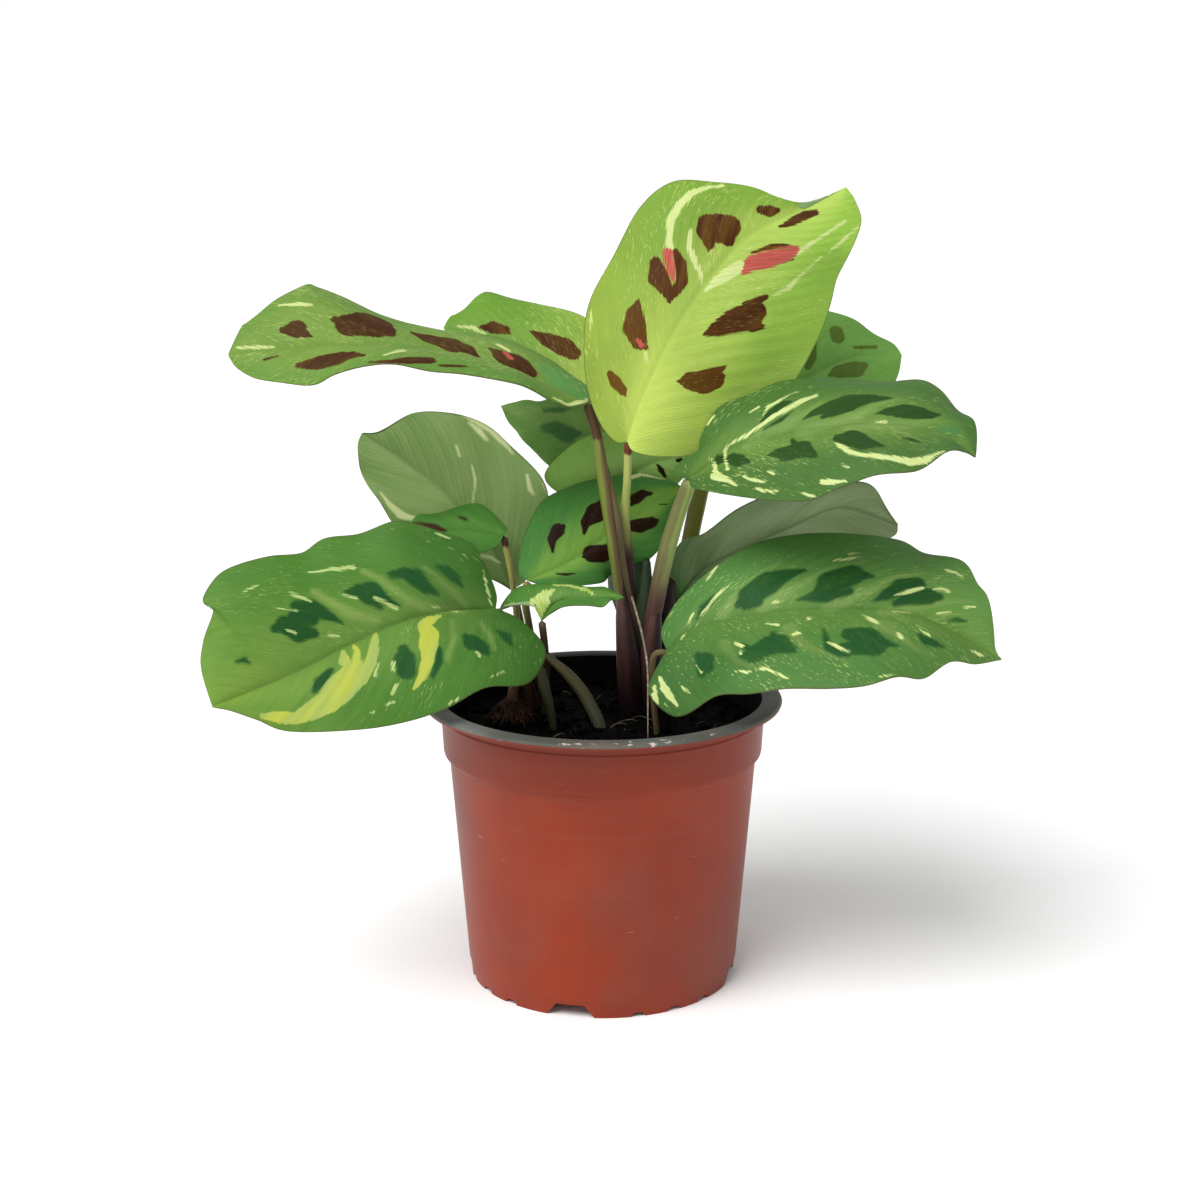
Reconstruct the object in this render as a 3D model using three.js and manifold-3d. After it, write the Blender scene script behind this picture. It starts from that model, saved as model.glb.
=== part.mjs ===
// A potted prayer plant (maranta): a 120 mm terracotta nursery pot filled with potting soil, and
// fourteen patterned leaves, each blade on its own stem that stands in a plain hole in the soil.
// Millimetres, +Z up. The origin is the centre of the pot's foot; the side seen first faces -Y.

import * as THREE from 'three';
import { mergeVertices } from 'three/addons/utils/BufferGeometryUtils.js';
import Module from 'manifold-3d';

const wasm = await Module();
wasm.setup();

// ---- driving dimensions -------------------------------------------------------------------

const POT_HEIGHT = 97;
const RIM_RADIUS = 60;
const RIM_THICKNESS = 2.4;
const COLLAR_RADIUS = 53.4;
const COLLAR_Z = 78;
const NECK_RADIUS = 51.6;
const FOOT_RADIUS = 44.9;
const FOOT_HEIGHT = 6;
const FLOOR_Z = 5;
const WALL = 1.2;
const POT_SIDES = 48;
const BIG_NOTCH = { width: 16, top: 9.6, height: 4.3 };
const SMALL_NOTCH = { width: 5, top: 3, height: 1.4 };
const FIRST_NOTCH_DEGREES = 13.6;
const SMALL_NOTCH_DEGREES = [28.6, 45, 61.4];
const NOTCH_DEPTH = 8;
const DRAIN_RADIUS = 3.5;
const DRAIN_CIRCLE = 27;
const DRAIN_COUNT = 6;

const SOIL_TOP = 88;
const SOIL_SHOULDER = 1.5;
const SOIL_WAVE = 0.7;

const GAP = 0.3;
const SEAT_GAP = 0.6;
const ROOT_DEPTH = 12;
const BLADE_THICKNESS = 0.8;
const MIDRIB_DEPTH = 0.6;
const VEIN_SLANT = 0.13;
const HALF_ARCH = 0.1;
const LARGE_BLADE = { along: 16, across: 8 };
const SMALL_BLADE = { along: 12, across: 6 };
const LARGE_BLADE_LENGTH = 85;
const PAD_RADIUS = 4;
const STEM_SIDES = 8;
const STEM_STEPS = 10;

// ---- finishes -----------------------------------------------------------------------------

const greens = { lime: 0x7fae35, mid: 0x4d8f3a, deep: 0x3f7d36, grey: 0x7d9468 };

function finish(colour, roughness) {
  return new THREE.MeshStandardMaterial({ color: colour, roughness, metalness: 0 });
}

// ---- the leaves ---------------------------------------------------------------------------

// Each leaf is three curves that run from the base of the blade to its tip: the midrib and the two
// margins, left and right as seen on the upper face with the tip pointing away. petiole is the
// route of its stem up from the soil, with a radius at each point and one more at the blade.
const leaves = {
  top: {
    green: 'lime',
    rib: [[8, -6, 183], [12, -6, 196], [22, -2, 217], [33, 3, 233], [47, 8, 248], [64, 12, 256],
      [79, 15, 263]
    ],
    left: [[4, -4, 183], [-1, 0, 189], [-5, 4, 201], [-6, 8, 217], [-4, 11, 228], [3, 14, 241],
      [12, 16, 257], [23, 18, 265], [37, 18, 264], [50, 15, 263], [61, 12, 258], [67, 12, 257],
      [74, 15, 260]
    ],
    right: [[10, -7, 180], [19, -4, 178], [32, 2, 178], [48, 9, 186], [62, 14, 199], [70, 16, 213],
      [75, 16, 226], [77, 14, 234], [80, 12, 242], [84, 13, 252], [82, 14, 259]
    ],
    petiole: [[15, 17, 88], [13, 14, 105], [10.5, 11.5, 123], [9, 9, 141], [7.5, 6, 157.5],
      [8, 0, 169.5]
    ],
    radii: [1.4, 1.4, 1.4, 1.4, 1.4, 1.3, 1],
  },
  left_high: {
    green: 'lime',
    rib: [[-5, 8, 194], [-21, 6, 201], [-43, 2, 209], [-65, -2, 213], [-88, -4, 214],
      [-120, -6, 211]
    ],
    left: [[-7, 2, 194], [-12, -4, 194], [-17, -10, 197], [-22, -15, 201], [-28, -19, 204],
      [-43, -22, 207], [-54, -23, 208], [-65, -23, 210], [-74, -22, 209], [-84, -20, 206],
      [-91, -18, 203], [-99, -16, 203], [-110, -12, 204], [-117, -8, 207]
    ],
    right: [[-4, 16, 197], [-11, 22, 202], [-19, 26, 207], [-35, 28, 213], [-54, 26, 215],
      [-73, 24, 220], [-88, 22, 228], [-94, 20, 231], [-98, 18, 232], [-106, 12, 227],
      [-115, 4, 221], [-117, 1, 219]
    ],
    petiole: [[10, 9.5, 88], [8, 6, 114], [6, 3, 128.5], [4, 1, 142.5], [2, 0, 156], [0, 1.5, 171],
      [-2, 4.5, 184]
    ],
    radii: [1.9, 1.8, 1.7, 1.7, 1.7, 2.1, 1.5, 1.5],
  },
  left_back_high: {
    green: 'lime',
    rib: [[0, 22, 192], [-14, 28, 202], [-31, 33, 210], [-54, 36, 216]],
    left: [[-4, 16, 192], [-16, 14, 198], [-29, 15, 203], [-41, 19, 207], [-51, 27, 213]],
    right: [[7, 30, 197], [5, 42, 209], [-7, 50, 218], [-21, 54, 222], [-37, 54, 226],
      [-43, 50, 225], [-50, 43, 220], [-52, 40, 219]
    ],
    petiole: [[13, 22, 88], [12.5, 27, 109], [9.5, 36, 128], [5, 43, 148], [3, 44, 165.5],
      [1, 43, 180]
    ],
    radii: [1.3, 1.3, 1.3, 1.3, 1.3, 1.3, 1.2],
  },
  right_back_high: {
    green: 'mid',
    rib: [[41, 30, 178], [56, 38, 189], [73, 44, 199], [89, 48, 205], [104, 50, 205]],
    left: [[33, 34, 185], [34, 42, 199], [46, 50, 212], [62, 55, 218], [79, 58, 220],
      [93, 58, 213], [101, 54, 209]
    ],
    right: [[45, 26, 174], [58, 26, 179], [74, 30, 184], [89, 36, 188], [100, 42, 195]],
    petiole: [[20.5, 15, 88], [21, 18, 111], [24.5, 21, 124.5], [28.5, 23, 138], [32, 25, 155],
      [35.5, 27, 167.5]
    ],
    radii: [2.3, 2.4, 2.6, 2.8, 2.9, 2.4, 1.6],
  },
  right_mid: {
    green: 'deep',
    rib: [[28, -8, 171], [35, -12, 177], [45, -16, 184], [62, -22, 189], [83, -28, 192],
      [103, -30, 190], [116, -32, 182]
    ],
    left: [[23, -4, 172], [26, -4, 177], [31, -4, 180], [32, -3, 184], [38, -1, 193], [49, 2, 197],
      [59, 4, 201], [74, 4, 202], [90, 0, 202], [103, -6, 203], [112, -14, 195], [117, -22, 192]
    ],
    right: [[29, -12, 169], [34, -20, 169], [48, -33, 169], [62, -42, 170], [70, -46, 174],
      [82, -49, 179], [95, -48, 180], [105, -42, 185], [112, -36, 184]
    ],
    petiole: [[17.5, 9, 88], [16, 7, 113.5], [18, 4.5, 128], [21, 2, 144], [24.5, -2, 158]],
    radii: [2.4, 2.5, 2.8, 2.9, 2.6, 1.8],
  },
  right_low: {
    green: 'deep',
    rib: [[21, -22, 117], [28, -22, 124], [46, -24, 130], [70, -28, 133], [94, -32, 133],
      [110, -34, 127], [126, -36, 118]
    ],
    left: [[19, -17, 122], [22, -13, 128], [28, -9, 134], [39, -4, 142], [53, 0, 149],
      [73, 0, 152], [96, -4, 151], [105, -10, 147], [116, -16, 145], [120, -23, 140],
      [123, -28, 135], [124, -34, 120]
    ],
    right: [[17, -26, 111], [15, -30, 105], [21, -36, 100], [26, -40, 101], [35, -46, 109],
      [45, -51, 111], [56, -56, 114], [69, -60, 115], [80, -61, 116], [90, -58, 118],
      [99, -55, 117], [108, -47, 120], [117, -42, 118]
    ],
    petiole: [[17.8, -18.5, 88], [16.5, -19, 100], [16, -20.5, 110], [17, -21.5, 116]],
    radii: [1, 0.9, 0.9, 0.9, 0.9],
  },
  right_under: {
    green: 'grey',
    rib: [[24, 15, 124], [33, 14, 136], [46, 12, 144], [61, 11, 151], [80, 14, 158], [100, 19, 151]],
    left: [[30, 19, 121], [47, 21, 127], [68, 24, 134], [85, 25, 139], [99, 23, 146]],
    right: [[21, 14, 129], [22, 12, 137], [26, 9, 147], [34, 5, 151], [46, 2, 160], [65, -1, 168],
      [80, 3, 169], [89, 8, 166]
    ],
    petiole: [[23, 9.5, 88], [20, 11.5, 105.5], [22, 13.5, 117.5]],
    radii: [1.7, 1.6, 1.5, 1.2],
  },
  left_low: {
    green: 'deep',
    rib: [[-35, -12, 129], [-50, -16, 129], [-64, -22, 127], [-81, -30, 121], [-98, -40, 114],
      [-121, -52, 107]
    ],
    left: [[-27, -13, 125], [-19, -16, 117], [-20, -20, 111], [-25, -26, 107], [-37, -33, 108],
      [-49, -39, 103], [-61, -44, 100], [-76, -50, 99], [-97, -55, 100], [-107, -56, 104],
      [-115, -55, 107]
    ],
    right: [[-35, -10, 134], [-39, -8, 144], [-43, -7, 150], [-51, -7, 153], [-61, -7, 156],
      [-68, -8, 157], [-79, -10, 153], [-90, -13, 152], [-97, -17, 148], [-107, -22, 148],
      [-118, -27, 146], [-123, -31, 143], [-126, -35, 137], [-122, -38, 134], [-125, -42, 125],
      [-125, -47, 118]
    ],
    petiole: [[-25, 5, 88], [-25.5, 0, 100], [-28, -6, 113.5], [-31, -10, 122.5]],
    radii: [1.5, 1.5, 1.5, 1.5, 1.3],
  },
  left_mid_small: {
    green: 'deep',
    rib: [[-33, 6, 150], [-42, 5, 152], [-54, 3, 152], [-68, 2, 150]],
    left: [[-35, 3, 147], [-41, 0, 145], [-51, -2, 144], [-62, -2, 146]],
    right: [[-32, 8, 152], [-38, 11, 157], [-43, 12, 159], [-53, 11, 157], [-61, 8, 156]],
    petiole: [[-25, 10.5, 88], [-26.5, 9, 99], [-28.5, 8, 117], [-30.5, 7, 136]],
    radii: [1, 1, 1, 1, 1],
  },
  left_under: {
    green: 'grey',
    rib: [[-31, 20, 128], [-38, 20, 143], [-51, 20, 159], [-65, 20, 171], [-81, 20, 182]],
    left: [[-25, 22, 133], [-19, 26, 150], [-20, 28, 164], [-32, 29, 177], [-40, 28, 184],
      [-51, 27, 188], [-64, 25, 188], [-74, 22, 183], [-77, 20, 182]
    ],
    right: [[-37, 18, 132], [-52, 15, 140], [-65, 13, 148], [-71, 13, 153], [-76, 14, 162],
      [-81, 16, 169], [-82, 18, 175], [-82, 19, 179]
    ],
    petiole: [[-23, 15, 88], [-26, 15, 101], [-27.5, 14, 115.5]],
    radii: [1.4, 1.3, 1.3, 1.2],
  },
  centre: {
    green: 'mid',
    rib: [[-25, 3, 135], [-10, 8, 141], [4, 14, 150], [16, 19, 157], [27, 23, 163]],
    left: [[-28, 5, 138], [-27, 11, 146], [-21, 18, 158], [-12, 22, 163], [-1, 26, 166],
      [13, 28, 167], [22, 28, 165]
    ],
    right: [[-17, 3, 133], [-1, 8, 133], [3, 12, 135], [10, 14, 138], [17, 15, 141], [23, 19, 151]],
    petiole: [[-19.5, 12.5, 88], [-22.5, 11, 102], [-24.5, 8, 117], [-26, 5, 128]],
    radii: [1.2, 1.2, 1.2, 1.2, 1.1],
  },
  back_centre: {
    green: 'deep',
    rib: [[13, 50, 168], [-1, 52, 175], [-17, 56, 182], [-36, 60, 186]],
    left: [[8, 48, 162], [-6, 47, 162], [-18, 48, 166], [-26, 53, 173], [-32, 58, 179]],
    right: [[13, 56, 174], [3, 60, 186], [-10, 62, 189], [-21, 62, 188], [-32, 61, 187]],
    petiole: [[16.5, 24, 88], [14.5, 31, 108], [14.5, 40, 127.5], [15.5, 50, 147]],
    radii: [1.3, 1.3, 1.3, 1.3, 1.2],
  },
  back_low: {
    green: 'mid',
    rib: [[-1, 29, 156], [3, 31, 161], [10, 34, 166], [20, 37, 170], [32, 41, 171]],
    left: [[-4, 30, 158], [-15, 31, 160], [-20, 33, 166], [-12, 36, 175], [-1, 38, 180],
      [15, 40, 180], [27, 42, 176]
    ],
    right: [[8, 29, 156], [18, 32, 159], [27, 36, 163]],
    petiole: [[9.5, 20, 88], [9, 23, 110], [6.5, 27, 130], [2, 29, 145.5]],
    radii: [1.3, 1.3, 1.3, 1.3, 1.2],
  },
  low_small: {
    green: 'deep',
    rib: [[-20, -12, 125], [-15, -12, 131], [-6, -13, 133], [7, -14, 133]],
    left: [[-23, -12, 131], [-29, -9, 130], [-34, -6, 128], [-28, -2, 134], [-16, -4, 135],
      [-4, -6, 135], [4, -10, 134]
    ],
    right: [[-17, -15, 128], [-12, -19, 131], [-1, -21, 132], [3, -18, 133]],
    petiole: [[-19.6, 6.5, 88], [-19, 4, 97], [-19, -4, 111.5]],
    radii: [1.2, 1.2, 1.2, 1],
  },
};

// The stems that carry no blade: the purple sheath that clasps the tall stems, the runner that dips
// back into the soil, and the stub of old roots beside the left-hand stems.
const bareStems = {
  stem_sheath: {
    colour: 0x4a2f33,
    route: [[13.5, 12.5, 88], [11.5, 8.5, 113.5], [9, 6, 128], [7, 4, 142], [6, 1.5, 156],
      [3.5, 2.5, 169], [2.5, 4.5, 174.5]
    ],
    radii: [2.1, 2, 1.9, 1.8, 1.8, 1.1, 0.4],
  },
  runner: {
    colour: 0x5d6236,
    route: [[-1, -7.5, 88], [-5, -5, 97], [-11, -5, 104.5], [-17, -6.8, 110]],
    radii: [1.6, 1.6, 1.5, 1.1],
  },
  root_stub: {
    colour: 0x3f2419,
    route: [[-31, 0, 88], [-31.5, -1, 93], [-32, -1.5, 98]],
    radii: [3.2, 2.4, 0.8],
  },
};

// ---- helpers ------------------------------------------------------------------------------

function spline(points) {
  const nodes = points.map((point) => new THREE.Vector3(...point));
  return new THREE.CatmullRomCurve3(nodes, false, 'catmullrom', 0.5);
}

function geometryOf(positions, indices) {
  const geometry = new THREE.BufferGeometry();
  geometry.setAttribute('position', new THREE.Float32BufferAttribute(positions, 3));
  geometry.setIndex(indices);
  return geometry;
}

function toSolid(geometry) {
  const bare = geometry.clone();
  bare.deleteAttribute('normal');
  bare.deleteAttribute('uv');
  const merged = mergeVertices(bare, 1e-4);
  return new wasm.Manifold(new wasm.Mesh({
    numProp: 3,
    vertProperties: new Float32Array(merged.attributes.position.array),
    triVerts: new Uint32Array(merged.index.array),
  }));
}

// The largest body of a cut solid, without any loose chips.
function toGeometry(solid) {
  const bodies = solid.decompose().sort((a, b) => b.volume() - a.volume());
  const mesh = bodies[0].getMesh();
  return geometryOf(Array.from(mesh.vertProperties), Array.from(mesh.triVerts));
}

// ---- blade --------------------------------------------------------------------------------

// A point of the blade: along runs from base to tip, side from -1 on the left margin to 1 on the
// right. Lines of constant along lean towards the tip as the side veins do, and each half arches.
function bladePoint(curves, along, side) {
  const out = Math.abs(side);
  const reach = THREE.MathUtils.clamp(along + VEIN_SLANT * Math.sin(Math.PI * along) * out, 0, 1);
  const rib = curves.rib.getPointAt(reach);
  const margin = (side < 0 ? curves.left : curves.right).getPointAt(reach);
  const across = margin.sub(rib);
  const normal = across.clone().cross(curves.rib.getTangentAt(reach));
  normal.multiplyScalar(Math.sign(side)).normalize();
  const lift = HALF_ARCH * across.length() * 4 * out * (1 - out);
  return rib.addScaledVector(across, out).addScaledVector(normal, lift);
}

// The blade's middle surface: one point at the base, rows of points across, one point at the tip.
function bladeSurface(leaf, cells) {
  const [base, tip] = [leaf.rib[0], leaf.rib.at(-1)];
  const curves = {
    rib: spline(leaf.rib),
    left: spline([base, ...leaf.left, tip]),
    right: spline([base, ...leaf.right, tip]),
  };
  const positions = [...base];
  for (let row = 1; row < cells.along; row += 1) {
    for (let column = 0; column <= cells.across; column += 1) {
      const side = -1 + (2 * column) / cells.across;
      positions.push(...bladePoint(curves, row / cells.along, side));
    }
  }
  positions.push(...tip);
  return geometryOf(positions, bladeFaces(cells));
}

function bladeFaces({ along, across }) {
  const at = (row, column) => 1 + (row - 1) * (across + 1) + column;
  const last = at(along, 0);
  const faces = [];
  for (let column = 0; column < across; column += 1) {
    faces.push(0, at(1, column + 1), at(1, column));
    faces.push(last, at(along - 1, column), at(along - 1, column + 1));
    for (let row = 1; row < along - 1; row += 1) {
      const [near, far] = [at(row, column), at(row + 1, column)];
      faces.push(near, near + 1, far + 1);
      faces.push(near, far + 1, far);
    }
  }
  return faces;
}

// The margin as a ring of vertex numbers: base, up the right edge, tip, back down the left edge.
function marginRing({ along, across }) {
  const right = [];
  const left = [];
  for (let row = 1; row < along; row += 1) {
    right.push(1 + (row - 1) * (across + 1) + across);
    left.unshift(1 + (row - 1) * (across + 1));
  }
  return [0, ...right, 1 + (along - 1) * (across + 1), ...left];
}

// Two like faces either side of the middle surface, joined round the margin. The lower face
// stands proud along the midrib.
function bladeGeometry(leaf, cells, thickness) {
  const surface = bladeSurface(leaf, cells);
  surface.computeVertexNormals();
  const { position, normal } = surface.attributes;
  const top = [];
  const bottom = [];
  for (let i = 0; i < position.count; i += 1) {
    const onRow = i > 0 && i < position.count - 1;
    const onRib = onRow && (i - 1) % (cells.across + 1) === cells.across / 2;
    const point = new THREE.Vector3().fromBufferAttribute(position, i);
    const outward = new THREE.Vector3().fromBufferAttribute(normal, i);
    const below = thickness / 2 + (onRib ? MIDRIB_DEPTH : 0);
    top.push(...point.clone().addScaledVector(outward, thickness / 2));
    bottom.push(...point.addScaledVector(outward, -below));
  }
  const faces = [...surface.index.array];
  for (let i = 0; i < surface.index.count; i += 3) {
    const [a, b, c] = surface.index.array.slice(i, i + 3);
    faces.push(a + position.count, c + position.count, b + position.count);
  }
  const ring = marginRing(cells);
  ring.forEach((from, i) => {
    const to = ring[(i + 1) % ring.length];
    faces.push(from, from + position.count, to + position.count);
    faces.push(from, to + position.count, to);
  });
  return geometryOf([...top, ...bottom], faces);
}

// ---- stems --------------------------------------------------------------------------------

// A stem with a radius at each point of its route, closed by a flat cap at either end. It goes
// straight down below its first point, where it enters the soil, to the depth given.
function stemGeometry(stem, depth, extra = 0) {
  const [x, y, z] = stem.route[0];
  const curve = spline([[x, y, z - depth], ...stem.route]);
  const radii = [stem.radii[0], ...stem.radii];
  const rings = [];
  for (let step = 0; step <= STEM_STEPS; step += 1) {
    const t = step / STEM_STEPS;
    const place = t * (radii.length - 1);
    const lower = Math.min(Math.floor(place), radii.length - 2);
    const radius = THREE.MathUtils.lerp(radii[lower], radii[lower + 1], place - lower) + extra;
    const along = curve.getTangent(t);
    const sideways = new THREE.Vector3(0, 1, 0).cross(along).normalize();
    const forwards = along.cross(sideways);
    for (let side = 0; side < STEM_SIDES; side += 1) {
      const angle = (2 * Math.PI * side) / STEM_SIDES;
      rings.push(...curve.getPoint(t)
        .addScaledVector(sideways, radius * Math.cos(angle))
        .addScaledVector(forwards, radius * Math.sin(angle)));
    }
  }
  const faces = [];
  const last = STEM_STEPS * STEM_SIDES;
  for (let side = 0; side < STEM_SIDES; side += 1) {
    const next = (side + 1) % STEM_SIDES;
    for (let ring = 0; ring < last; ring += STEM_SIDES) {
      faces.push(ring + side, ring + next, ring + next + STEM_SIDES);
      faces.push(ring + side, ring + next + STEM_SIDES, ring + side + STEM_SIDES);
    }
    if (side > 0 && side < STEM_SIDES - 1) {
      faces.push(0, side + 1, side);
      faces.push(last, last + side, last + side + 1);
    }
  }
  return geometryOf(rings, faces);
}

// Which way the upper face looks at the base of the blade.
function baseNormal(leaf) {
  const surface = bladeSurface(leaf, SMALL_BLADE);
  surface.computeVertexNormals();
  return new THREE.Vector3().fromBufferAttribute(surface.attributes.normal, 0);
}

// A flat disc round the base of the blade, thicker than the blade by a seat's gap on each face.
function basePad(leaf) {
  const height = BLADE_THICKNESS + 2 * SEAT_GAP;
  const pad = new THREE.CylinderGeometry(PAD_RADIUS, PAD_RADIUS, height, STEM_SIDES);
  const axis = new THREE.Vector3(0, 1, 0);
  const turn = new THREE.Quaternion().setFromUnitVectors(axis, baseNormal(leaf));
  return toSolid(pad.applyQuaternion(turn).translate(...leaf.rib[0]));
}

// Each petiole ends just under the base of its blade.
function petioleOf(leaf) {
  const end = new THREE.Vector3(...leaf.rib[0]);
  end.addScaledVector(baseNormal(leaf), -BLADE_THICKNESS / 2 - SEAT_GAP);
  return { route: [...leaf.petiole, [...end]], radii: leaf.radii };
}

const stems = [...Object.values(leaves).map(petioleOf), ...Object.values(bareStems)];

// ---- pot and soil -------------------------------------------------------------------------

function lathe(profile, sides) {
  const points = profile.map(([radius, z]) => new THREE.Vector2(radius, z));
  return new THREE.LatheGeometry(points, sides).rotateX(Math.PI / 2);
}

// Round the pot from the middle of the floor's underside: foot ring, tapered wall, collar, rolled
// rim, then down the inside.
const potProfile = [
  [0, FLOOR_Z],
  [FOOT_RADIUS - WALL - 0.4, FLOOR_Z],
  [FOOT_RADIUS - WALL, 0],
  [FOOT_RADIUS, 0],
  [FOOT_RADIUS + 0.6, FOOT_HEIGHT],
  [NECK_RADIUS, COLLAR_Z - 1.5],
  [COLLAR_RADIUS, COLLAR_Z + 1],
  [COLLAR_RADIUS + 0.9, POT_HEIGHT - 2 * RIM_THICKNESS],
  [COLLAR_RADIUS + 2, POT_HEIGHT - RIM_THICKNESS - 0.8],
  [RIM_RADIUS - 1.2, POT_HEIGHT - RIM_THICKNESS],
  [RIM_RADIUS, POT_HEIGHT - RIM_THICKNESS + 1],
  [RIM_RADIUS - 0.4, POT_HEIGHT - 0.3],
  [RIM_RADIUS - 1.4, POT_HEIGHT],
  [COLLAR_RADIUS + 0.8, POT_HEIGHT],
  [COLLAR_RADIUS - 0.3, POT_HEIGHT - 1.2],
  [COLLAR_RADIUS - WALL, COLLAR_Z + 0.5],
  [NECK_RADIUS - WALL, COLLAR_Z - 2],
  [FOOT_RADIUS + 0.6 - WALL, FLOOR_Z + WALL],
  [0, FLOOR_Z + WALL],
];

// A drain notch in the foot ring, at degrees clockwise from -Y as seen from above.
function notch({ width, top, height }, degrees) {
  const outline = new THREE.Shape([
    new THREE.Vector2(-width / 2, -1),
    new THREE.Vector2(width / 2, -1),
    new THREE.Vector2(width / 2, 0),
    new THREE.Vector2(top / 2, height),
    new THREE.Vector2(-top / 2, height),
    new THREE.Vector2(-width / 2, 0),
  ]);
  const block = new THREE.ExtrudeGeometry(outline, { depth: NOTCH_DEPTH, bevelEnabled: false });
  block.rotateX(Math.PI / 2).translate(0, NOTCH_DEPTH / 2 - FOOT_RADIUS, 0);
  return toSolid(block.rotateZ(-THREE.MathUtils.degToRad(degrees)));
}

function drainHole(x, y) {
  const plug = new THREE.CylinderGeometry(DRAIN_RADIUS, DRAIN_RADIUS, 4 * WALL, 16);
  return toSolid(plug.rotateX(Math.PI / 2).translate(x, y, FLOOR_Z));
}

function potGeometry() {
  let pot = toSolid(lathe(potProfile, POT_SIDES)).subtract(drainHole(0, 0));
  for (let quarter = 0; quarter < 4; quarter += 1) {
    const start = FIRST_NOTCH_DEGREES + 90 * quarter;
    pot = pot.subtract(notch(BIG_NOTCH, start));
    for (const offset of SMALL_NOTCH_DEGREES) {
      pot = pot.subtract(notch(SMALL_NOTCH, start + offset));
    }
  }
  for (let hole = 0; hole < DRAIN_COUNT; hole += 1) {
    const angle = (2 * Math.PI * hole) / DRAIN_COUNT;
    pot = pot.subtract(drainHole(DRAIN_CIRCLE * Math.cos(angle), DRAIN_CIRCLE * Math.sin(angle)));
  }
  return toGeometry(pot);
}

const soilProfile = [
  [0, FLOOR_Z + WALL + GAP],
  [FOOT_RADIUS + 0.3 - WALL - GAP, FLOOR_Z + WALL + GAP],
  [NECK_RADIUS - WALL - GAP, COLLAR_Z - 2],
  [COLLAR_RADIUS - WALL - GAP, COLLAR_Z + 0.5],
  [COLLAR_RADIUS - WALL, SOIL_TOP - SOIL_SHOULDER],
  [50, SOIL_TOP],
  [36, SOIL_TOP],
  [20, SOIL_TOP],
  [0, SOIL_TOP],
];

// The soil fills the pot to just under the rim. Its top is a little uneven, and each stem stands
// in a hole that follows the stem.
function soilGeometry() {
  const ground = lathe(soilProfile, POT_SIDES);
  const place = ground.attributes.position;
  for (let i = 0; i < place.count; i += 1) {
    const [x, y, z] = [place.getX(i), place.getY(i), place.getZ(i)];
    if (z > SOIL_TOP - SOIL_SHOULDER / 2) {
      place.setZ(i, z + SOIL_WAVE * Math.sin(x / 7) * Math.cos(y / 9 + 1));
    }
  }
  let soil = toSolid(ground);
  for (const stem of stems) {
    soil = soil.subtract(toSolid(stemGeometry(stem, ROOT_DEPTH + GAP, GAP)));
  }
  return toGeometry(soil);
}

// ---- the whole plant ----------------------------------------------------------------------

const plant = new THREE.Group();

function add(name, geometry, material) {
  const mesh = new THREE.Mesh(geometry, material);
  mesh.name = name;
  plant.add(mesh);
}

add('pot', potGeometry(), finish(0xa4462f, 0.5));
add('soil', soilGeometry(), finish(0x17120f, 0.95));

for (const [name, leaf] of Object.entries(leaves)) {
  const cells = spline(leaf.rib).getLength() > LARGE_BLADE_LENGTH ? LARGE_BLADE : SMALL_BLADE;
  const blade = bladeGeometry(leaf, cells, BLADE_THICKNESS);
  const clearance = toSolid(bladeGeometry(leaf, cells, BLADE_THICKNESS + 2 * GAP));
  const petiole = toSolid(stemGeometry(petioleOf(leaf), ROOT_DEPTH));
  add(`blade_${name}`, blade, finish(greens[leaf.green], 0.45));
  add(
    `petiole_${name}`,
    toGeometry(petiole.subtract(clearance).subtract(basePad(leaf))),
    finish(0x6b6a35, 0.5),
  );
}

for (const [name, stem] of Object.entries(bareStems)) {
  add(name, stemGeometry(stem, ROOT_DEPTH), finish(stem.colour, 0.6));
}

export default plant;
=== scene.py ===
# %% [markdown]
# # A prayer plant in its nursery pot
# This notebook dresses a measured model of a potted prayer plant: fourteen patterned leaves on
# slender stalks, a crumbly potting mix and a thin plastic pot. The measured model gives every
# place and size, so each new piece is made straight at its final spot, in metres.

# %% Load the measured model
import math
import random

import bpy
import numpy as np
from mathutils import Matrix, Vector, noise


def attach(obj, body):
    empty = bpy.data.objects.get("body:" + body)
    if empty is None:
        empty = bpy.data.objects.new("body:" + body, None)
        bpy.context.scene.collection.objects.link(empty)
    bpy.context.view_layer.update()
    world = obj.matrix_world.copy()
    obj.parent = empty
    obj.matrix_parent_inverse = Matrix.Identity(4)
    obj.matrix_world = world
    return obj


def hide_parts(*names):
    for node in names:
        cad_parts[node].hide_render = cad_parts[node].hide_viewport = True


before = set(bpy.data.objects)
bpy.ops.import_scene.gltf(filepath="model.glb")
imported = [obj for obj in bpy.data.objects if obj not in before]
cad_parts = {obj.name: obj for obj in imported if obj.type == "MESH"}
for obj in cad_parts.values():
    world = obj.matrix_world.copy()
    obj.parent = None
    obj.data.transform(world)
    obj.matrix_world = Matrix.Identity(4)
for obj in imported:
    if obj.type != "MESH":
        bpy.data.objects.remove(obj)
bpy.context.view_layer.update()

MM = 0.001
random.seed(11)

# %% [markdown]
# ## Camera
# The plant is seen from a little above, as by someone standing a step away from a table. The
# camera stands 0.66 m in front, 0.28 m up, and looks down by 12.8 degrees with a mild telephoto
# lens. It comes first because everything later is judged through it.

# %% Camera
CAMERA_PLACE = (-0.9 * MM, -664 * MM, 280 * MM)
CAMERA_DOWN = 12.8
CAMERA_LENS = 61.5
CAMERA_SENSOR = 36

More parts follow.
